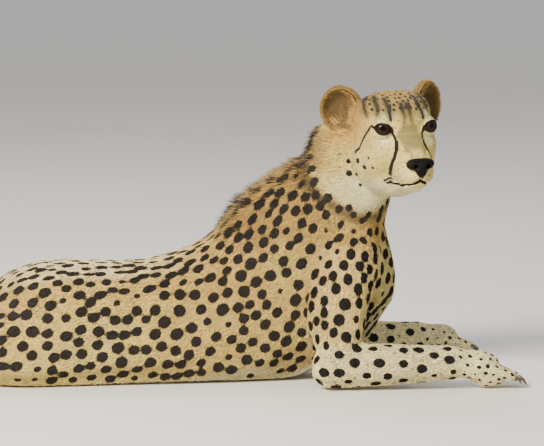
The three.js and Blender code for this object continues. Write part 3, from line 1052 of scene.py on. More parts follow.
NO_INK = -9.0
TEAR_WIDTHS = (2.5, 3.7, 4.4)  # half of it, from the eye, from a quarter down and near its end
LINE_MARKS = (
    # half the width, line
    (2.5, EYE_TAIL), (2.5, BROW_MARK), (2.7, MOUTH), (1.5, PHILTRUM), (2.1, TEAR_DASHES[0]),
    (2.1, TEAR_DASHES[1]),
)
LID_LINE = 2.7  # how far round the lids' opening is dark
SPOT_SPREAD = 1.3  # what the cheek spots are wider by on the skin
WHISKER_DOT = 1.1
STREAK_WIDTH = 5.0
WHISKER_ROWS = 4
WHISKERS_IN_ROW = 5


def whisker_root(row, place):
    """Where a whisker grows from the left whisker pad."""
    return (56 - 7 * place - 2 * row, 12 + 3.6 * place + 0.6 * row, -50 - 6 * row - place)


def face_ink(points, divergence):
    """How far inside a dark mark of the face each point lies, in mm; less than 0 outside."""
    local, face = face_points(points)
    tree = face_tree(local)
    tear = laid(TEAR_LINE, tree)
    marks = [
        TEAR_WIDTHS[0] - to_path(local, tear),
        TEAR_WIDTHS[1] - to_path(local, tear[len(tear) // 4 :]),
        TEAR_WIDTHS[2] - to_path(local, tear[2 * len(tear) // 3 : -4]),
    ]
    lines = LINE_MARKS + tuple((radius + SPOT_SPREAD, (spot,)) for spot, radius in CHEEK_SPOTS)
    roots = np.ndindex(WHISKER_ROWS, WHISKERS_IN_ROW)
    lines += tuple((WHISKER_DOT, (whisker_root(*root),)) for root in roots)
    marks += [width - to_line(local, line, tree) for width, line in lines]
    margin, _, front = lid_margin(local, divergence)
    marks.append(np.where(front, LID_LINE - margin, NO_INK))
    marks.append(np.clip(-ball(local, NOSE_PLACE, (12, 24, 10)), NO_INK, 3.0))
    ink = np.full(len(points), NO_INK)
    ink[face] = np.maximum.reduce(marks)
    return ink


def face_streaks(points):
    """The soft brown streaks of the forehead, and the painted shade down the bridge of the nose,
    from 0 to 1.
    """
    local, face = face_points(points)
    tree = face_tree(local)
    streaks = np.zeros(len(points))
    streaks[face] = np.maximum.reduce(
        [band(to_line(local, streak, tree), STREAK_WIDTH) for streak in STREAKS]
    )
    return streaks


GOLD_PATCHES = (
    # amount, place, size
    (0.80, (-78, 62, -6), (34, 28, 30)),
    (0.35, (-58, 50, 18), (32, 20, 24)),
)  # before and over the ears
WHITE_PATCHES = (
    (0.75, (6, 40, -12), (16, 14, 8)),
    (0.50, (-6, 34, 24), (14, 12, 6)),
    (0.55, (44, 18, -62), (20, 16, 16)),
    (0.30, (-40, 64, -50), (26, 20, 20)),
)  # under and over the eyes, on the whisker pads and the cheeks
DARK_PATCHES = ((1.0, (-56, 56, 10), (34, 20, 26)),)  # the temples


def base_tones(points, normals, share):
    """How golden and how white the ground colour is at each point, from 0 to 1."""
    up = normals[:, 2]
    body = share["trunk"] + share["thigh"] + share["arm"] + share["neck"]
    ahead = ramp(points[:, 0], CAD_BOX[0][0] + 0.55, CAD_BOX[0][0] + 0.84)
    gold = 0.30 + 0.25 * ramp(up, -0.3, 0.6)
    gold += 0.26 * share["neck"] + 0.10 * share["arm"] + 0.16 * share["trunk"] * ahead
    # painted shade: the breast, facing forward, is made greyer and less golden, as in shade
    breast = share["trunk"] * ahead * ramp(normals[:, 0], 0.4, 0.9)
    gold -= 0.65 * breast
    rear = 1 - ramp(points[:, 0], CAD_BOX[0][0] + 0.3, CAD_BOX[0][0] + 0.8)
    belly = np.stack([np.full(len(points), 0.2), 0.75 * rear, -1 + 0.4 * rear], axis=1)
    belly /= np.linalg.norm(belly, axis=1)[:, None]
    white = body * ramp(np.einsum("ij,ij->i", normals, belly), 0.45, 0.95)
    # painted reflection: the top of the back and hips is whiter, for the sky's sheen on it
    white += 0.55 * (share["trunk"] + share["thigh"]) * ramp(up, 0.55, 0.95) * (1 - ahead)
    # more of the breast's painted shade
    white += 0.2 * breast
    # paler legs and paws: partly their own paler coat, partly painted light for the sun on the
    # forelegs
    legs = share["forearm"] + share["shank"]
    paws = share["forepaw"] + share["hindpaw"]
    white += 0.15 * share["arm"] + 0.55 * legs + 0.62 * paws
    gold -= 0.15 * legs + 0.2 * paws
    white += share["tail"] * 0.6 * ramp(-up, 0.0, 0.8)
    local = fold(to_head(points))
    head_gold = 0.16 + 0.50 * ramp(local[:, 2], 8, 42)
    head_gold += patches(local, GOLD_PATCHES) + 0.45 * ramp(-local[:, 0], 70, 110)
    head_white = 0.75 * ramp(-local[:, 2], 66, 92) * (1 - 0.6 * ramp(-local[:, 0], 50, 100))
    head_white += patches(local, WHITE_PATCHES)
    gold += share["head"] * (head_gold - gold)
    white += share["head"] * (head_white - white)
    return gold.clip(0, 1), white.clip(0, 1)


COAT_PIECES = (
    # name, locks, lock width against the body's
    ("face", 31000, 0.34),
    ("crown", 27000, 0.46),
    ("neck", 30000, 0.80),
    ("chest", 31500, 0.95),
    ("loin", 31500, 1.0),
    ("rump", 31500, 1.0),
    ("forelegs", 24000, 0.72),
    ("hindlegs", 27000, 0.80),
    ("tail", 15000, 0.80),
)


def coat_pieces(points, share):
    """The number of the coat piece that each point belongs to."""
    local = to_head(points)
    names = [name for name, _, _ in COAT_PIECES]
    owner = np.array([np.maximum(share[region], 1e-9) for region in REGIONS]).argmax(axis=0)
    region = np.array(REGIONS)[owner]
    number = np.full(len(points), float(names.index("chest")))
    number[(region == "head")] = names.index("crown")
    number[(region == "head") & (local[:, 0] > -34)] = names.index("face")
    number[region == "neck"] = names.index("neck")
    number[region == "tail"] = names.index("tail")
    number[np.isin(region, ("arm", "forearm", "forepaw"))] = names.index("forelegs")
    number[np.isin(region, ("thigh", "shank", "hindpaw"))] = names.index("hindlegs")
    trunk = region == "trunk"
    loin_low, loin_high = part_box("loin")
    number[trunk & (points[:, 0] < loin_high[0] + 0.02)] = names.index("loin")
    number[trunk & (points[:, 0] < loin_low[0] - 0.01)] = names.index("rump")
    return number


# ------------------------------------------------------------------ shader nodes
def plug(tree, value, socket):
    """Sets a socket to a value, or wires an output to it."""
    if isinstance(value, bpy.types.NodeSocket):
        tree.links.new(value, socket)
    else:
        socket.default_value = value


def add(tree, kind, inputs=None, **settings):
    """A node of a tree, with its settings, and its inputs set or wired by name or number."""
    node = tree.nodes.new(kind)
    for name, value in settings.items():
        setattr(node, name, value)
    for key, value in (inputs or {}).items():
        plug(tree, value, node.inputs[key])
    return node


def attribute(tree, name, output="Fac"):
    """The output of a node that reads a stored number."""
    return add(tree, "ShaderNodeAttribute", attribute_name=name).outputs[output]


def sum_of(tree, operation, *values):
    """A Math node's output."""
    inputs = dict(enumerate(values))
    return add(tree, "ShaderNodeMath", inputs, operation=operation).outputs[0]


def step(tree, value, low, high):
    """0 below low, 1 above high."""
    inputs = {"Value": value, "From Min": low, "From Max": high}
    node = add(tree, "ShaderNodeMapRange", inputs, interpolation_type="SMOOTHSTEP")
    return node.outputs["Result"]


def mixed(tree, factor, first, second, blend="MIX"):
    """Two colours mixed."""
    inputs = {0: factor, 6: first, 7: second}
    return add(tree, "ShaderNodeMix", inputs, data_type="RGBA", blend_type=blend).outputs[2]


def grain(tree, scale, detail=2.0, stretch=(1, 1, 1)):
    """A noise in the object's own coordinates."""
    place = add(tree, "ShaderNodeTexCoord").outputs["Object"]
    scaled = add(tree, "ShaderNodeMapping", {"Vector": place, "Scale": stretch})
    inputs = {"Vector": scaled.outputs["Vector"], "Scale": scale, "Detail": detail}
    return add(tree, "ShaderNodeTexNoise", inputs).outputs["Fac"]


def bumped(tree, height, strength, depth, shader):
    """Gives a shader's surface a fine relief."""
    inputs = {"Height": height, "Strength": strength, "Distance": depth}
    plug(tree, add(tree, "ShaderNodeBump", inputs).outputs["Normal"], shader.inputs["Normal"])


def new_material(name, roughness, specular=0.5):
    """A material with a Principled shader, its tree and the shader."""
    material = bpy.data.materials.new(name)
    material.use_nodes = True
    shader = material.node_tree.nodes["Principled BSDF"]
    shader.inputs["Roughness"].default_value = roughness
    shader.inputs["Specular IOR Level"].default_value = specular
    return material, material.node_tree, shader


def rgba(colour):
    """A colour as a socket takes it."""
    return (*colour, 1.0)


BROWN_AND_SHADE = (0.04, 0.028, 0.020)  # the dark brown of streaks, crown, crest and ears, also laid on as painted shade under the ruff, between the toes, in the ears' hollows and down the bridge of the nose


def markings_group(settings):
    """The coat's colours: ground, flecks, spots, face marks and a dark brown that is partly painted
    shade, the same on skin and hair.
    """
    tree = bpy.data.node_groups.new("Cheetah Markings", "ShaderNodeTree")
    tree.interface.new_socket("Tone", in_out="INPUT", socket_type="NodeSocketFloat")
    tree.interface.new_socket("Color", in_out="OUTPUT", socket_type="NodeSocketColor")
    given = add(tree, "NodeGroupInput")
    wobble = sum_of(tree, "SUBTRACT", grain(tree, 260.0), 0.5)
    shift = sum_of(tree, "MULTIPLY", sum_of(tree, "SUBTRACT", grain(tree, 9.0, 3.0), 0.5), 0.5)
    gold = sum_of(tree, "ADD", attribute(tree, "gold"), shift)
    ground = mixed(tree, step(tree, gold, 0.0, 1.0), rgba(settings.cream), rgba(settings.gold))
    ground = mixed(tree, attribute(tree, "white"), ground, rgba(settings.white))
    fleck = step(tree, sum_of(tree, "ADD", attribute(tree, "fleck"), wobble), 0.0, 0.4)
    brown = mixed(tree, 0.55, rgba(settings.gold), rgba(settings.black))
    ground = mixed(tree, sum_of(tree, "MULTIPLY", fleck, 0.75), ground, brown)
    mottle = sum_of(tree, "MULTIPLY_ADD", grain(tree, 42.0, 3.0), 0.55, 0.72)
    tone = sum_of(tree, "MULTIPLY", given.outputs["Tone"], mottle)
    toned = mixed(tree, 1.0, ground, tone, "MULTIPLY")
    edge = sum_of(tree, "MULTIPLY", wobble, 0.26)
    spot = step(tree, sum_of(tree, "ADD", attribute(tree, "spot"), edge), 0.0, 0.14)
    line = step(tree, sum_of(tree, "ADD", attribute(tree, "ink"), wobble), -0.3, 0.5)
    mark = sum_of(tree, "MAXIMUM", spot, line)
    marked = mixed(tree, mark, toned, rgba(settings.black))
    # darkens towards dark brown: real brown marks, and painted shade in creases, hollows and under
    # the ruff
    dusk = sum_of(tree, "MULTIPLY", attribute(tree, "dusk"), 0.86)
    add(tree, "NodeGroupOutput", {"Color": mixed(tree, dusk, marked, rgba(BROWN_AND_SHADE))})
    return tree


def coat_material(name, markings, hair):
    """Skin, or hair, with the coat's markings."""
    material, tree, shader = new_material(name, 0.72 if hair else 0.82, 0.2)
    group = add(tree, "ShaderNodeGroup", node_tree=markings)
    if hair:
        tip = step(tree, attribute(tree, "tipward"), -0.2, 1.0)
        tone = sum_of(tree, "MULTIPLY_ADD", tip, 0.34, attribute(tree, "tone"))
    else:
        tone = sum_of(tree, "MULTIPLY_ADD", grain(tree, 420.0), 0.5, 0.62)
        bumped(tree, grain(tree, 520.0, 3.0), 0.35, 0.6 * MM, shader)
    plug(tree, tone, group.inputs["Tone"])
    plug(tree, group.outputs["Color"], shader.inputs["Base Color"])
    shader.inputs["Sheen Weight"].default_value = 0.05 if hair else 0.0
    return material


# ------------------------------------------------------------------ the whole skin
FLESH = (
    "head", "neck", "chest", "loin", "rump", "tail", "upper_arm", "forearm", "forepaw", "thigh",
    "shank", "hindpaw", "ear",
)


def on_head(points):
    """The face and the crown, and the two sides of the head as far as the ruff."""
    local = to_head(points)
    return (local[:, 0] > -112) & (np.abs(local[:, 1]) < 84) & (local[:, 2] > -104)


def on_paws(points):
    """The toes."""
    near = np.zeros(len(points), bool)
    for _, start, end, radius in PAW_BONES:
        near |= rod(points, start.lerp(end, TOES_FROM), end, 0, 0) < radius + 0.012
    return near


def on_fine_face(points):
    """Round the eyes, the nose and the mouth."""
    left = fold(to_head(points))
    eye = np.linalg.norm((left - (2, EYE_SIDE, EYE_LIFT)) / (1.3, 1.2, 1.0), axis=1) < 24
    nose = np.linalg.norm(left - (64, 0, -46), axis=1) < 30
    mouth = to_line(left, MOUTH, face_tree(left)) < 8
    return eye | nose | mouth


PLAIN_ROUNDS = 30  # in which the head's broad faces are evened out
BREAST = (0.41, 0.17)  # where the breast stands out in front, along the body and over the floor
BREAST_SIZE = (0.07, 0.06)
BREAST_SWELL = 0.012


def plain_head(points):
    """1 on the head's broad faces, 0 round the eyes, the nose and the mouth and off the head."""
    left = fold(to_head(points))
    eye = np.linalg.norm(left - EYE_CENTRE, axis=1)
    nose = np.linalg.norm(left - NOSE_PLACE, axis=1)
    mouth = to_line(left, MOUTH, face_tree(left))
    return on_head(points) * ramp(eye, 24, 34) * ramp(nose, 22, 32) * ramp(mouth, 5, 12)


def breast(points, normals):
    """How far the breast stands out ahead of the flesh's own form at each point."""
    swell = fading(points[:, (0, 2)], BREAST, BREAST_SIZE)
    return BREAST_SWELL * swell * ramp(normals[:, 0], -0.1, 0.6)


def divide(mesh, block, wanted):
    """Divides the mesh where a test on its points says so, and settles and evens it there."""
    points, _, _ = arrays_of(mesh)
    refine(mesh, wanted(points))
    points, _, edges = arrays_of(mesh)
    weight = wanted(points).astype(float)[:, None]
    for _ in range(3):
        weight = neighbour_mean(weight, edges)
    put_points(mesh, smooth(points, edges, weight[:, 0], 2))
    settle(mesh, block, weight[:, 0])
    points, _, edges = arrays_of(mesh)
    put_points(mesh, smooth(points, edges, weight[:, 0], 2))


def joined(name, meshes):
    """Several meshes as one."""
    work = bmesh.new()
    for mesh in meshes:
        work.from_mesh(mesh)
        bpy.data.meshes.remove(mesh)
    result = bpy.data.meshes.new(name)
    work.to_mesh(result)
    work.free()
    result.shade_smooth()
    return result


UNWRAP_ANGLE = math.radians(66)
UNWRAP_MARGIN = 0.001


def unwrap(piece):
    """An unwrap of the piece's own shape, as the UV map named OFBake."""
    piece.data.uv_layers.new(name="OFBake")
    for other in bpy.context.view_layer.objects:
        other.select_set(other is piece)
    bpy.context.view_layer.objects.active = piece
    bpy.ops.object.mode_set(mode="EDIT")
    bpy.ops.mesh.select_all(action="SELECT")
    bpy.ops.uv.smart_project(angle_limit=UNWRAP_ANGLE, island_margin=UNWRAP_MARGIN)
    bpy.ops.object.mode_set(mode="OBJECT")
    piece.select_set(False)


EAR_SKIRT = 7.0  # how far round an ear's foot the coat is longer, in mm


def ear_skirt(points):
    """How near each point of the head is to the foot of an ear, from 0 to 1."""
    centre, turn = ear_axes("l", 1.0)
    foot = ball(fold(to_head(points)), centre, EAR_OUTER, turn)
    return band(np.maximum(foot, 0), EAR_SKIRT)


def ear_facts(points, normals, first):
    """Which points are the ears', that come from a first one on, and their coat and its colours."""
    ear = np.arange(len(points)) >= first
    place = np.zeros((len(points), 3))  # in the ear's axes and half sizes
    behind = np.zeros(len(points), bool)  # on the ear's back
    local = to_head(points)
    for tag, side in SIDES:
        centre, turn = ear_axes(tag, side)
        own = ear & (local[:, 1] * side > 0)
        place[own] = (local[own] - centre) @ turn * (1, side, 1) / EAR_OUTER
        behind[own] = np.abs(ball(local[own], centre, EAR_OUTER, turn)) < 1.2
    out = np.hypot(place[:, 1], place[:, 2])
    deep = ~behind * (1 - ramp(out, 0.6, 0.98)) * ramp(place[:, 1], -0.75, -0.15)
    inner = ~behind * ramp(-place[:, 1], 0.1, 0.6)
    patch = 0.62 - np.hypot(place[:, 1] / 1.1, place[:, 2] + 0.2)
    way = place * (0.2, 0.6, 0.6) + (-0.3, 0.0, 0.8) + inner[:, None] * (0.5, 1.3, -0.2)
    way[:, 1] *= np.sign(local[:, 1])
    return ear, {
        "lie": tangent(way @ HEAD_AXES.T, normals),
        "length": (4.0 + 3.5 * ramp(out, 0.7, 1.0) + 8.0 * inner) * MM,
        "cover": 0.9 - 0.4 * deep,
        "spot": np.where(behind & (place[:, 0] < 0.1), patch, NO_SPOT),
        "fleck": NO_SPOT,
        "ink": NO_INK,
        "gold": 1.0,
        "white": 0.0,
        # the whole ear is darker; the further darkening towards the bottom of the cup's hollow is
        # painted shade
        "dusk": 0.65 + 0.33 * deep,
        "stand": 0.25 + 0.3 * inner,
    }


def skin_facts(mesh, ears_from, settings, divergence):
    """Stores on the skin's points all that the coat and its colours need."""
    points, normals, edges = arrays_of(mesh)
    share = region_shares(points, edges)
    weights = bone_weights(points, share)
    lie = coat_lie(points, normals, weights, share)
    length = coat_length(points, share)
    spots, flecks = body_spots(points, normals, lie, share, settings)
    rings, tip = tail_rings(points, share)
    spots = np.where(rings > NO_SPOT, rings, spots)
    ink = face_ink(points, divergence)
    gold, white = base_tones(points, normals, share)
    white = np.maximum(white, tip)
    local = to_head(points)
    left = fold(local)
    crown = share["head"] * ramp(local[:, 2], 10, 40)
    # the first streak, down the bridge of the nose, is painted shade; crown and crest are a darker
    # brown
    dusk = 0.74 * face_streaks(points) + 0.47 * crown + 0.26 * crest(points)
    dusk += 0.26 * share["head"] * patches(left, DARK_PATCHES)
    # the band just behind the ruff's edge is a painted shadow under the overhanging ruff
    dusk += 0.37 * share["neck"] + 0.55 * share["neck"] * band(ruff_depth(points) + 9, 7)
    # painted shade in the creases between the toes
    dusk += 0.25 * (share["trunk"] + share["thigh"]) + 0.5 * toe_creases(points, normals)
    cover = 1 - resting(points, normals)
    margin, _, front = lid_margin(left, divergence)
    near_lid = front & (left[:, 0] > -60)
    cover *= np.where(near_lid, ramp(margin, 1.2, 5.0), 1.0)
    length = np.where(near_lid, length * (0.35 + 0.65 * ramp(margin, 2.0, 16.0)), length)
    nose_bed = ball(left, NOSE_PLACE, (14, 21, 11))
    cover *= ramp(nose_bed, 0.0, 2.5)
    length *= 0.4 + 0.6 * ramp(nose_bed, 2.0, 18.0)
    lips = to_line(left, MOUTH, face_tree(left))
    cover *= np.where(left[:, 0] > 0, ramp(lips, 2.2, 4.0), 1.0)
    length *= np.where(left[:, 0] > 0, 0.45 + 0.55 * ramp(lips, 3.0, 11.0), 1.0)

    skirt = share["head"] * ear_skirt(points)
    stand = 0.8 * crest(points) * (share["neck"] + share["trunk"]) + 0.6 * skirt
    length = length + 8.0 * MM * skirt
    body_facts = {
        "lie": lie, "length": length, "cover": cover.clip(0, 1), "spot": spots, "fleck": flecks,
        "ink": ink, "gold": gold, "white": white, "dusk": dusk, "stand": stand,
    }
    ear, on_ears = ear_facts(points, normals, ears_from)
    for name, values in body_facts.items():
        chosen = ear[:, None] if values.ndim == 2 else ear
        paint(mesh, name, np.where(chosen, on_ears[name], values))
    piece = coat_pieces(points, share).astype(np.int32)
    number = mesh.attributes.new("piece", "INT", "FACE")
    number.data.foreach_set("value", piece[first_corners(mesh)])


def make_skin(settings, coat, divergence):
    """The one skin of the whole animal, with its face, lids and ears."""
    mesh, soft, sharp = body_skin(settings)
    for wanted, block in ((on_head, soft), (on_paws, sharp), (on_fine_face, soft)):
        divide(mesh, block, wanted)
    points, normals, edges = arrays_of(mesh)
    put_points(mesh, smooth(points, edges, plain_head(points), PLAIN_ROUNDS))
    points, normals, edges = arrays_of(mesh)
    share = region_shares(points, edges)
    depth = coat_length(points, share) * COAT_SINK
    depth *= 1 - 0.8 * resting(points, normals)
    depth += TOE_CREASE[0] * toe_creases(points, normals)
    fuller = breast(points, normals) * (share["trunk"] + share["neck"])
    put_points(mesh, points - normals * depth[:, None] + fuller[:, None] * (1.0, 0.0, 0.0))
    points, normals, _ = arrays_of(mesh)
    put_points(mesh, sculpt_face(points, normals, settings))
    points, _, _ = arrays_of(mesh)
    put_points(mesh, sculpt_lids(points, settings, divergence))
    body_points = len(mesh.vertices)
    mesh = joined("skin", [mesh] + [ear_mesh(tag, side) for tag, side in SIDES])
    skin_facts(mesh, body_points, coat, divergence)
    return linked("skin", mesh)


# ------------------------------------------------------------------ eyes
def eye_mesh(tag, side, settings):
    """One eyeball: a ball with a cornea that stands out of its front."""
    outward = settings.divergence
    gaze = Vector((math.cos(outward), side * math.sin(outward), math.sin(LID_CENTRE)))
    turn = np.array(gaze.to_track_quat("Z", "Y").to_matrix())
    rings, around = 40, 48
    points = [(0.0, 0.0, 1.0)]
    for i in range(1, rings):
        angle = math.pi * (i / rings) ** 1.25
        for k in range(around):
            way = 2 * math.pi * k / around
            wide = math.sin(angle)
            points.append((wide * math.cos(way), wide * math.sin(way), math.cos(angle)))
    points.append((0.0, 0.0, -1.0))
    faces = [(0, 1 + k, 1 + (k + 1) % around) for k in range(around)]
    for i in range(rings - 2):
        for k in range(around):
            a = 1 + i * around + k
            b = 1 + i * around + (k + 1) % around
            faces.append((a, a + around, b + around, b))
    last = len(points) - 1
    base = 1 + (rings - 2) * around
    faces += [(last, base + (k + 1) % around, base + k) for k in range(around)]
    points = np.array(points)
    angle = np.arccos(points[:, 2].clip(-1, 1))
    radius = EYE_RADIUS + settings.bulge / MM * (1 - ramp(angle, 0.35, 0.85))
    placed = EYE_CENTRE * (1, side, 1) + (points * radius[:, None]) @ turn.T
    mesh = bpy.data.meshes.new(f"eyeball_{tag}")
    mesh.from_pydata(from_head(placed).tolist(), [], faces)
    mesh.shade_smooth()
    paint(mesh, "ring", angle)
    paint(mesh, "spoke", points * 1.0)
    return mesh


IRIS_RIM = (0.030, 0.013, 0.006)  # round the pupil
IRIS_FIBRE = (0.012, 0.006, 0.004)
LIMBUS = (0.012, 0.008, 0.006)
EYE_WHITE = (0.030, 0.018, 0.012)  # it is dark brown
PUPIL = (0.002, 0.002, 0.002)


def eye_material(settings):
    """A wet eye: pupil, dark brown iris with fine spokes, limbus and brown white of the eye."""
    material, tree, shader = new_material("cheetah eye", 0.06, 0.13)
    ring = attribute(tree, "ring")
    spokes = {"Vector": attribute(tree, "spoke", "Vector"), "Scale": 14.0, "Detail": 4.0}
    fibre = step(tree, add(tree, "ShaderNodeTexNoise", spokes).outputs["Fac"], 0.3, 0.7)
    inner = mixed(tree, step(tree, ring, 0.24, 0.58), rgba(IRIS_RIM), rgba(settings.iris))
    iris = mixed(tree, 0.55, inner, mixed(tree, fibre, inner, rgba(IRIS_FIBRE)))
    limbus = mixed(tree, step(tree, ring, 0.56, 0.68), iris, rgba(LIMBUS))
    white = mixed(tree, step(tree, ring, 0.72, 0.84), limbus, rgba(EYE_WHITE))
    pupil = mixed(tree, step(tree, ring, 0.25, 0.28), rgba(PUPIL), white)
    plug(tree, pupil, shader.inputs["Base Color"])
    return material


# ------------------------------------------------------------------ nose, claws
def nose_field(points):
    """The nose pad: a bridge, two wings round the nostrils, and the groove between them."""
    left = fold(points)
    pad = melt(
        2.5,
        ball(left, (63, 0, -39), (11, 22, 8.5)),
        ball(left, (67, 0, -49), (8.5, 9, 12)),
        ball(left, (60, 14, -41), (9, 8, 7)),
    )
    nostril = rod(left, (75, 8.5, -43), (62, 13.5, -41), 3.4, 2.6)
    slit = rod(left, (66, 13, -41), (56, 20.5, -38), 2.2, 1.2)
    groove = rod(left, (81, 0, -44), (77, 0, -64), 1.3, 1.3)
    return carve(0.8, pad, nostril, slit, groove)


def nose_material():
    """Damp black leather with fine pebbles."""
    material, tree, shader = new_material("cheetah nose", 0.42, 0.08)
    place = add(tree, "ShaderNodeTexCoord").outputs["Object"]
    pebbles = add(tree, "ShaderNodeTexVoronoi", {"Vector": place, "Scale": 900.0})
    bumped(tree, pebbles.outputs["Distance"], 0.5, 0.4 * MM, shader)
    stain = step(tree, grain(tree, 90.0), 0.35, 0.7)
    shade = mixed(tree, stain, rgba((0.003, 0.003, 0.003)), rgba((0.009, 0.007, 0.007)))
    plug(tree, shade, shader.inputs["Base Color"])
    rough = sum_of(tree, "MULTIPLY_ADD", grain(tree, 300.0), 0.25, 0.38)
    plug(tree, rough, shader.inputs["Roughness"])
    return material


def claw_material():
    """Dark horn, paler in streaks."""
    material, tree, shader = new_material("cheetah claw", 0.35)
    streak = step(tree, grain(tree, 260.0, 3.0, (0.3, 1.0, 1.0)), 0.35, 0.7)
    shade = mixed(tree, streak, rgba((0.035, 0.024, 0.018)), rgba((0.16, 0.115, 0.08)))
    plug(tree, shade, shader.inputs["Base Color"])
    rough = sum_of(tree, "MULTIPLY_ADD", streak, 0.2, 0.28)
    plug(tree, rough, shader.inputs["Roughness"])
    return material


# ------------------------------------------------------------------ coat
def lock_object():
    """One lock of hair, one long and one wide, that the coat repeats."""
    points = ((0, 0, 0), (0.4, -0.5, 0), (0.4, 0.5, 0), (0.4, 0, 0.55), (1, 0, 0.0))
    faces = ((0, 2, 1), (0, 1, 3), (0, 3, 2), (4, 1, 2), (4, 3, 1), (4, 2, 3))
    mesh = bpy.data.meshes.new("lock")
    mesh.from_pydata(points, [], faces)
    mesh.shade_smooth()
    paint(mesh, "tipward", np.array([point[0] for point in points]))
    flat = [(point[0] - 0.5, point[1] + 0.2 * point[2], 0) for point in points]
    paint(mesh, "patch", np.array(flat))
    return bpy.data.objects.new("lock", mesh)


PATCH_SIZE = 0.003  # of one lock in the unwrap
MARK_SHARPNESS = 0.85  # 0: a lock takes its mark from its root, 1: from the skin under each place
COAT_INPUTS = (
    # name, socket, default
    ("Piece", "NodeSocketInt", 0),
    ("Density", "NodeSocketFloat", 10000.0),
    ("Width", "NodeSocketFloat", 0.002),
    ("Lift", "NodeSocketFloat", 0.3),
    ("Seed", "NodeSocketInt", 0),
    ("Lock", "NodeSocketObject", None),
    ("Material", "NodeSocketMaterial", None),
)


def stored(tree, name, kind="FLOAT"):
    """The output that reads a named attribute."""
    node = add(tree, "GeometryNodeInputNamedAttribute", {"Name": name}, data_type=kind)
    return node.outputs["Attribute"]


def chance(tree, low, high, seed, shift):
    """A random number for each lock."""
    inputs = {2: low, 3: high, "Seed": sum_of(tree, "ADD", seed, float(shift))}
    return add(tree, "FunctionNodeRandomValue", inputs, data_type="FLOAT").outputs[1]


def vector_of(tree, operation, *values, scale=None):
    """A Vector Math node's output."""
    inputs = dict(enumerate(values))
    if scale is not None:
        inputs["Scale"] = scale
    return add(tree, "ShaderNodeVectorMath", inputs, operation=operation).outputs["Vector"]


def keep(tree, geometry, name, value, kind, domain):
    """Stores a named attribute on the geometry that passes."""
    inputs = {"Geometry": geometry, "Name": name, "Value": value}
    node = add(tree, "GeometryNodeStoreNamedAttribute", inputs, data_type=kind, domain=domain)
    return node.outputs["Geometry"]


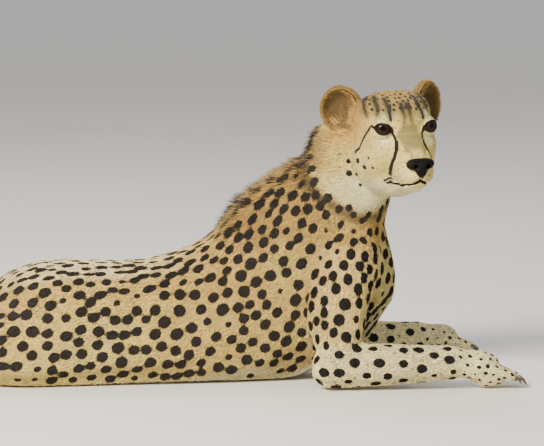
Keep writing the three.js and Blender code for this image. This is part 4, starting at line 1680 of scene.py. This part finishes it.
def coat_tree():
    """Locks rooted on one part of the skin, lying the way of its hair, as one plain mesh."""
    tree = bpy.data.node_groups.new("Cheetah Coat", "GeometryNodeTree")
    tree.interface.new_socket("Geometry", in_out="INPUT", socket_type="NodeSocketGeometry")
    for name, kind, default in COAT_INPUTS:
        socket = tree.interface.new_socket(name, in_out="INPUT", socket_type=kind)
        if default is not None:
            socket.default_value = default
    tree.interface.new_socket("Geometry", in_out="OUTPUT", socket_type="NodeSocketGeometry")
    given = add(tree, "NodeGroupInput").outputs
    pair = {2: stored(tree, "piece", "INT"), 3: given["Piece"]}
    same = add(tree, "FunctionNodeCompare", pair, data_type="INT", operation="EQUAL")
    inputs = {"Geometry": given["Geometry"], "Selection": same.outputs["Result"]}
    part = add(tree, "GeometryNodeSeparateGeometry", inputs, domain="FACE")

    density = sum_of(tree, "MULTIPLY", given["Density"], stored(tree, "cover"))
    inputs = {"Mesh": part.outputs["Selection"], "Density": density, "Seed": given["Seed"]}
    roots = add(tree, "GeometryNodeDistributePointsOnFaces", inputs, distribute_method="RANDOM")
    unwrap_place = stored(tree, "OFBake", "FLOAT_VECTOR")
    points = keep(tree, roots.outputs["Points"], "root", unwrap_place, "FLOAT_VECTOR", "POINT")
    tone = chance(tree, 0.58, 0.98, given["Seed"], 1)
    points = keep(tree, points, "tone", tone, "FLOAT", "POINT")

    normal = roots.outputs["Normal"]
    lie = stored(tree, "lie", "FLOAT_VECTOR")
    side = vector_of(tree, "CROSS_PRODUCT", normal, lie)
    sway = vector_of(tree, "SCALE", side, scale=chance(tree, -0.28, 0.28, given["Seed"], 2))
    lift = sum_of(tree, "ADD", given["Lift"], stored(tree, "stand"))
    lift = sum_of(tree, "MULTIPLY", lift, chance(tree, 0.6, 1.5, given["Seed"], 3))
    rise = vector_of(tree, "SCALE", normal, scale=lift)
    way = vector_of(tree, "ADD", vector_of(tree, "ADD", lie, sway), rise)
    axes = {"Primary Axis": way, "Secondary Axis": normal}
    turn = add(tree, "FunctionNodeAxesToRotation", axes, primary_axis="X", secondary_axis="Z")
    shorter = chance(tree, 0.72, 1.18, given["Seed"], 4)
    long = sum_of(tree, "MULTIPLY", stored(tree, "length"), shorter)
    wide = sum_of(tree, "MULTIPLY", given["Width"], chance(tree, 0.7, 1.3, given["Seed"], 5))
    sizes = (long, wide, sum_of(tree, "MULTIPLY", wide, 0.8))
    size = add(tree, "ShaderNodeCombineXYZ", dict(enumerate(sizes)))

    given_lock = {"Object": given["Lock"]}
    lock = add(tree, "GeometryNodeObjectInfo", given_lock, transform_space="ORIGINAL")
    placed = add(tree, "GeometryNodeInstanceOnPoints", {
        "Points": points,
        "Instance": lock.outputs["Geometry"],
        "Rotation": turn.outputs["Rotation"],
        "Scale": size.outputs["Vector"],
    })
    real = add(tree, "GeometryNodeRealizeInstances", {"Geometry": placed.outputs["Instances"]})
    coat = real.outputs["Geometry"]
    for name in ("spot", "ink", "fleck"):
        inputs = {"Mesh": given["Geometry"], "Value": stored(tree, name)}
        below = add(tree, "GeometryNodeSampleNearestSurface", inputs, data_type="FLOAT")
        inputs = {0: MARK_SHARPNESS, 2: stored(tree, name), 3: below.outputs["Value"]}
        blend = add(tree, "ShaderNodeMix", inputs, data_type="FLOAT")
        coat = keep(tree, coat, name, blend.outputs[0], "FLOAT", "POINT")
    patch = vector_of(tree, "SCALE", stored(tree, "patch", "FLOAT_VECTOR"), scale=PATCH_SIZE)
    unwrapped = vector_of(tree, "ADD", stored(tree, "root", "FLOAT_VECTOR"), patch)
    coat = keep(tree, coat, "OFBake", unwrapped, "FLOAT2", "CORNER")
    for name in ("root", "patch", "lie", "length", "cover", "piece", "stand"):
        drop = add(tree, "GeometryNodeRemoveAttribute", {"Geometry": coat, "Name": name})
        coat = drop.outputs["Geometry"]
    inputs = {"Geometry": coat, "Material": given["Material"]}
    finish = add(tree, "GeometryNodeSetMaterial", inputs)
    add(tree, "NodeGroupOutput", {"Geometry": finish.outputs["Geometry"]})
    return tree


def covered_areas(mesh):
    """The area of each coat piece, counted by how thickly the coat covers it."""
    areas = read(mesh.polygons, "area")
    piece = read(mesh.attributes["piece"].data, "value", np.int32)
    cover = read(mesh.attributes["cover"].data, "value", np.float32)
    return np.bincount(piece, areas * cover[first_corners(mesh)], len(COAT_PIECES))


COAT_LIFT = 0.19  # how steeply the locks rise
COAT_SEED = 40


def make_coat(skin, settings, material):
    """The coat, piece by piece, rooted on the skin."""
    tree = coat_tree()
    items = tree.interface.items_tree
    sockets = {item.name: item.identifier for item in items if item.in_out == "INPUT"}
    lock = lock_object()
    areas = covered_areas(skin.data)
    for number, (name, locks, width) in enumerate(COAT_PIECES):
        piece = bpy.data.objects.new(f"coat_{name}", skin.data.copy())
        bpy.context.scene.collection.objects.link(piece)
        modifier = piece.modifiers.new("coat", "NODES")
        modifier.node_group = tree
        values = {
            "Piece": number,
            "Density": locks / areas[number],
            "Width": settings.lock_width * width,
            "Lift": COAT_LIFT,
            "Seed": COAT_SEED + number,
            "Lock": lock,
            "Material": material,
        }
        for key, value in values.items():
            modifier[sockets[key]] = value
        depsgraph = bpy.context.evaluated_depsgraph_get()
        mesh = bpy.data.meshes.new_from_object(
            piece.evaluated_get(depsgraph), preserve_all_data_layers=True, depsgraph=depsgraph
        )
        piece.modifiers.clear()
        old = piece.data
        piece.data = mesh
        bpy.data.meshes.remove(old)
        mesh.name = piece.name
        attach(piece, "root")
    bpy.data.objects.remove(lock)
    bpy.data.node_groups.remove(tree)


# ------------------------------------------------------------------ whiskers
WHISKER_STEPS = 8
WHISKER_RADIUS = 0.17
WHISKER_TIP = 0.04


def whisker_mesh():
    """Long fine hairs on the whisker pads and over the eyes, each a bent, tapering rod."""
    rng = np.random.default_rng(5)
    roots = [
        (whisker_root(row, place), 34 + 8 * place + 3 * row)
        for row in range(WHISKER_ROWS) for place in range(0, WHISKERS_IN_ROW - 1, 2)
    ]
    roots += [((-4 + 3 * i, 30 + 4 * i, 25), 18) for i in range(2)]
    points = []
    faces = []
    for side in (-1, 1):
        for root, length in roots:
            start = np.array(root, float) * (1, side, 1)
            brow = root[2] > 0
            way = np.array((0.55, side * 0.35, 0.8)) if brow else np.array((-0.05, side, -0.12))
            way = way + rng.normal(0, 0.09, 3)
            way /= np.linalg.norm(way)
            sag = np.array((-0.25, 0, -0.3)) * (1 if not brow else -0.3) * rng.uniform(0.7, 1.3)
            across = np.cross(way, (0.3, 0.2, 1.0))
            across /= np.linalg.norm(across)
            over = np.cross(way, across)
            base = len(points)
            for i in range(WHISKER_STEPS):
                t = i / WHISKER_STEPS
                centre = start + length * (way * t + sag * t * t)
                radius = WHISKER_RADIUS * (1 - t) + WHISKER_TIP
                for k in range(3):
                    turn = 2 * math.pi * k / 3
                    out = across * math.cos(turn) + over * math.sin(turn)
                    points.append(centre + radius * out)
            points.append(start + length * (way + sag))
            faces.append((base + 2, base + 1, base))
            for i in range(WHISKER_STEPS - 1):
                for k in range(3):
                    a = base + 3 * i + k
                    b = base + 3 * i + (k + 1) % 3
                    faces += [(a, b, b + 3), (a, b + 3, a + 3)]
            end = base + 3 * (WHISKER_STEPS - 1)
            faces += [(end + k, end + (k + 1) % 3, end + 3) for k in range(3)]
    mesh = bpy.data.meshes.new("whiskers")
    mesh.from_pydata(from_head(np.array(points)).tolist(), [], faces)
    mesh.shade_smooth()
    work = bmesh.new()
    work.from_mesh(mesh)
    bmesh.ops.recalc_face_normals(work, faces=work.faces)
    work.to_mesh(mesh)
    work.free()
    return mesh


def whisker_material():
    """White hair."""
    material, tree, shader = new_material("whisker", 0.4)
    shade = mixed(tree, grain(tree, 60.0), rgba((0.80, 0.76, 0.68)), rgba((0.95, 0.93, 0.88)))
    plug(tree, shade, shader.inputs["Base Color"])
    return material


# ------------------------------------------------------------------ stage
AIM = (0.2185, -0.1343, 0.259)  # what the camera points at
LIGHTS = (
    # name, place from the aim, power, width, colour
    ("key", (-2.1, -3.1, 2.5), 450.0, 1.3, (1.0, 0.94, 0.82)),
    ("fill", (3.2, -2.4, 1.4), 12.0, 2.6, (0.84, 0.92, 1.0)),
    ("top", (-0.6, 1.8, 3.2), 66.0, 2.2, (0.90, 0.95, 1.0)),
)
SURROUND = (0.97, 0.97, 0.97)
SURROUND_LIGHT = 0.50
FLOOR_HALF = 30.0
FLOOR_FADE = (2.5, 12.0)  # from where to where the floor takes on the surround's colour


def make_stage(settings):
    """Camera, pale floor, soft lights and a pale surround."""
    scene = bpy.context.scene
    aim = Vector(AIM)
    camera = bpy.data.objects.new("camera", bpy.data.cameras.new("camera"))
    scene.collection.objects.link(camera)
    back = Vector((0, -math.cos(settings.elevation), math.sin(settings.elevation)))
    camera.location = aim + back * settings.distance
    camera.rotation_euler = (math.pi / 2 - settings.elevation, 0, 0)
    camera.data.lens = settings.lens
    camera.data.sensor_width = 36.0
    camera.data.clip_end = 100.0
    scene.camera = camera

    mesh = bpy.data.meshes.new("floor")
    square = ((-1, -1), (1, -1), (1, 1), (-1, 1))
    corners = [(x * FLOOR_HALF, y * FLOOR_HALF, -MM) for x, y in square]
    mesh.from_pydata(corners, [], [(0, 1, 2, 3)])
    floor = bpy.data.objects.new("floor", mesh)
    scene.collection.objects.link(floor)
    material, tree, shader = new_material("pale floor", 0.9)
    darker = rgba([0.94 * channel for channel in settings.floor])
    shade = mixed(tree, grain(tree, 3.0), rgba(settings.floor), darker)
    place = add(tree, "ShaderNodeTexCoord").outputs["Object"]
    away = add(tree, "ShaderNodeVectorMath", {0: place}, operation="LENGTH")
    shade = mixed(tree, step(tree, away.outputs["Value"], *FLOOR_FADE), shade, rgba(SURROUND))
    plug(tree, shade, shader.inputs["Base Color"])
    mesh.materials.append(material)

    for name, place, energy, width, colour in LIGHTS:
        light = bpy.data.objects.new(name, bpy.data.lights.new(name, "AREA"))
        light.data.energy = energy
        light.data.size = width
        light.data.color = colour
        light.location = aim + Vector(place)
        light.rotation_euler = (aim - light.location).to_track_quat("-Z", "Y").to_euler()
        scene.collection.objects.link(light)
    world = bpy.data.worlds.new("surround")
    world.use_nodes = True
    background = world.node_tree.nodes["Background"]
    background.inputs["Color"].default_value = rgba(SURROUND)
    background.inputs["Strength"].default_value = SURROUND_LIGHT
    scene.world = world


# ------------------------------------------------------------------ operators
def coat_materials():
    """The skin's and the hair's materials, made once."""
    if "cheetah skin" not in bpy.data.materials:
        markings = markings_group(bpy.context.scene.cheetah_coat)
        coat_material("cheetah skin", markings, False)
        coat_material("cheetah hair", markings, True)
    return bpy.data.materials["cheetah skin"], bpy.data.materials["cheetah hair"]


class CHEETAH_OT_stage(bpy.types.Operator):
    """Sets up the camera, the floor and the lights"""

    bl_idname = "cheetah.stage"
    bl_label = "Stage"

    def execute(self, context):
        make_stage(context.scene.cheetah_stage)
        return {"FINISHED"}


class CHEETAH_OT_skin(bpy.types.Operator):
    """Makes the one skin of body, face and ears, with its markings"""

    bl_idname = "cheetah.skin"
    bl_label = "Skin"

    def execute(self, context):
        scene = context.scene
        skin = make_skin(scene.cheetah_skin, scene.cheetah_coat, scene.cheetah_eyes.divergence)
        unwrap(skin)
        skin.data.materials.append(coat_materials()[0])
        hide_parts(*[name for name in frame["nodes"] if name.startswith(FLESH)])
        return {"FINISHED"}


class CHEETAH_OT_eyes(bpy.types.Operator):
    """Makes the two eyeballs"""

    bl_idname = "cheetah.eyes"
    bl_label = "Eyes"

    def execute(self, context):
        settings = context.scene.cheetah_eyes
        material = eye_material(settings)
        for tag, side in SIDES:
            eye = linked(f"eyeball_{tag}", eye_mesh(tag, side, settings))
            eye.data.materials.append(material)
            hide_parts(f"eye_{tag}")
        return {"FINISHED"}


class CHEETAH_OT_nose(bpy.types.Operator):
    """Makes the nose pad with its nostrils"""

    bl_idname = "cheetah.nose"
    bl_label = "Nose"

    def execute(self, context):
        mesh = mesh_from_field("nose_pad", nose_field, (40, -30, -70), (86, 30, -22), 0.8)
        nose = linked("nose_pad", mesh)
        nose.data.materials.append(nose_material())
        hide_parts("nose")
        return {"FINISHED"}


class CHEETAH_OT_claws(bpy.types.Operator):
    """Gives the claws their horn"""

    bl_idname = "cheetah.claws"
    bl_label = "Claws"

    def execute(self, context):
        material = claw_material()
        for name, node in frame["nodes"].items():
            if name.startswith("claw"):
                node.data.materials.clear()
                node.data.materials.append(material)
        return {"FINISHED"}


class CHEETAH_OT_coat(bpy.types.Operator):
    """Covers the skin with locks of hair"""

    bl_idname = "cheetah.coat"
    bl_label = "Coat"

    def execute(self, context):
        make_coat(bpy.data.objects["skin"], context.scene.cheetah_coat, coat_materials()[1])
        return {"FINISHED"}


class CHEETAH_OT_whiskers(bpy.types.Operator):
    """Adds the whiskers"""

    bl_idname = "cheetah.whiskers"
    bl_label = "Whiskers"

    def execute(self, context):
        whiskers = linked("whiskers", whisker_mesh())
        whiskers.data.materials.append(whisker_material())
        return {"FINISHED"}


class CHEETAH_PT_panel(bpy.types.Panel):
    """The cheetah's settings and steps"""

    bl_label = "Lying Cheetah"
    bl_idname = "CHEETAH_PT_panel"
    bl_space_type = "VIEW_3D"
    bl_region_type = "UI"
    bl_category = "Cheetah"

    def draw(self, context):
        scene = context.scene
        for setting, _ in SETTINGS:
            group = getattr(scene, setting)
            box = self.layout.box()
            for name in group.__annotations__:
                box.prop(group, name)
        for name in BUILD_ORDER:
            self.layout.operator(f"cheetah.{name}")


SETTINGS = (
    ("cheetah_skin", CheetahSkinSettings),
    ("cheetah_coat", CheetahCoatSettings),
    ("cheetah_eyes", CheetahEyeSettings),
    ("cheetah_stage", CheetahStageSettings),
)
CLASSES = (
    CHEETAH_OT_stage,
    CHEETAH_OT_skin,
    CHEETAH_OT_eyes,
    CHEETAH_OT_nose,
    CHEETAH_OT_claws,
    CHEETAH_OT_coat,
    CHEETAH_OT_whiskers,
    CHEETAH_PT_panel,
)


def register():
    """Makes the settings, operators and panel known."""
    for name, group in SETTINGS:
        bpy.utils.register_class(group)
        setattr(bpy.types.Scene, name, bpy.props.PointerProperty(type=group))
    for item in CLASSES:
        bpy.utils.register_class(item)


def unregister():
    """Takes them away again."""
    for item in reversed(CLASSES):
        bpy.utils.unregister_class(item)
    for name, group in reversed(SETTINGS):
        delattr(bpy.types.Scene, name)
        bpy.utils.unregister_class(group)


def main():
    """Builds the cheetah piece by piece."""
    register()
    for name in BUILD_ORDER:
        getattr(bpy.ops.cheetah, name)()


if __name__ == "__main__":
    main()
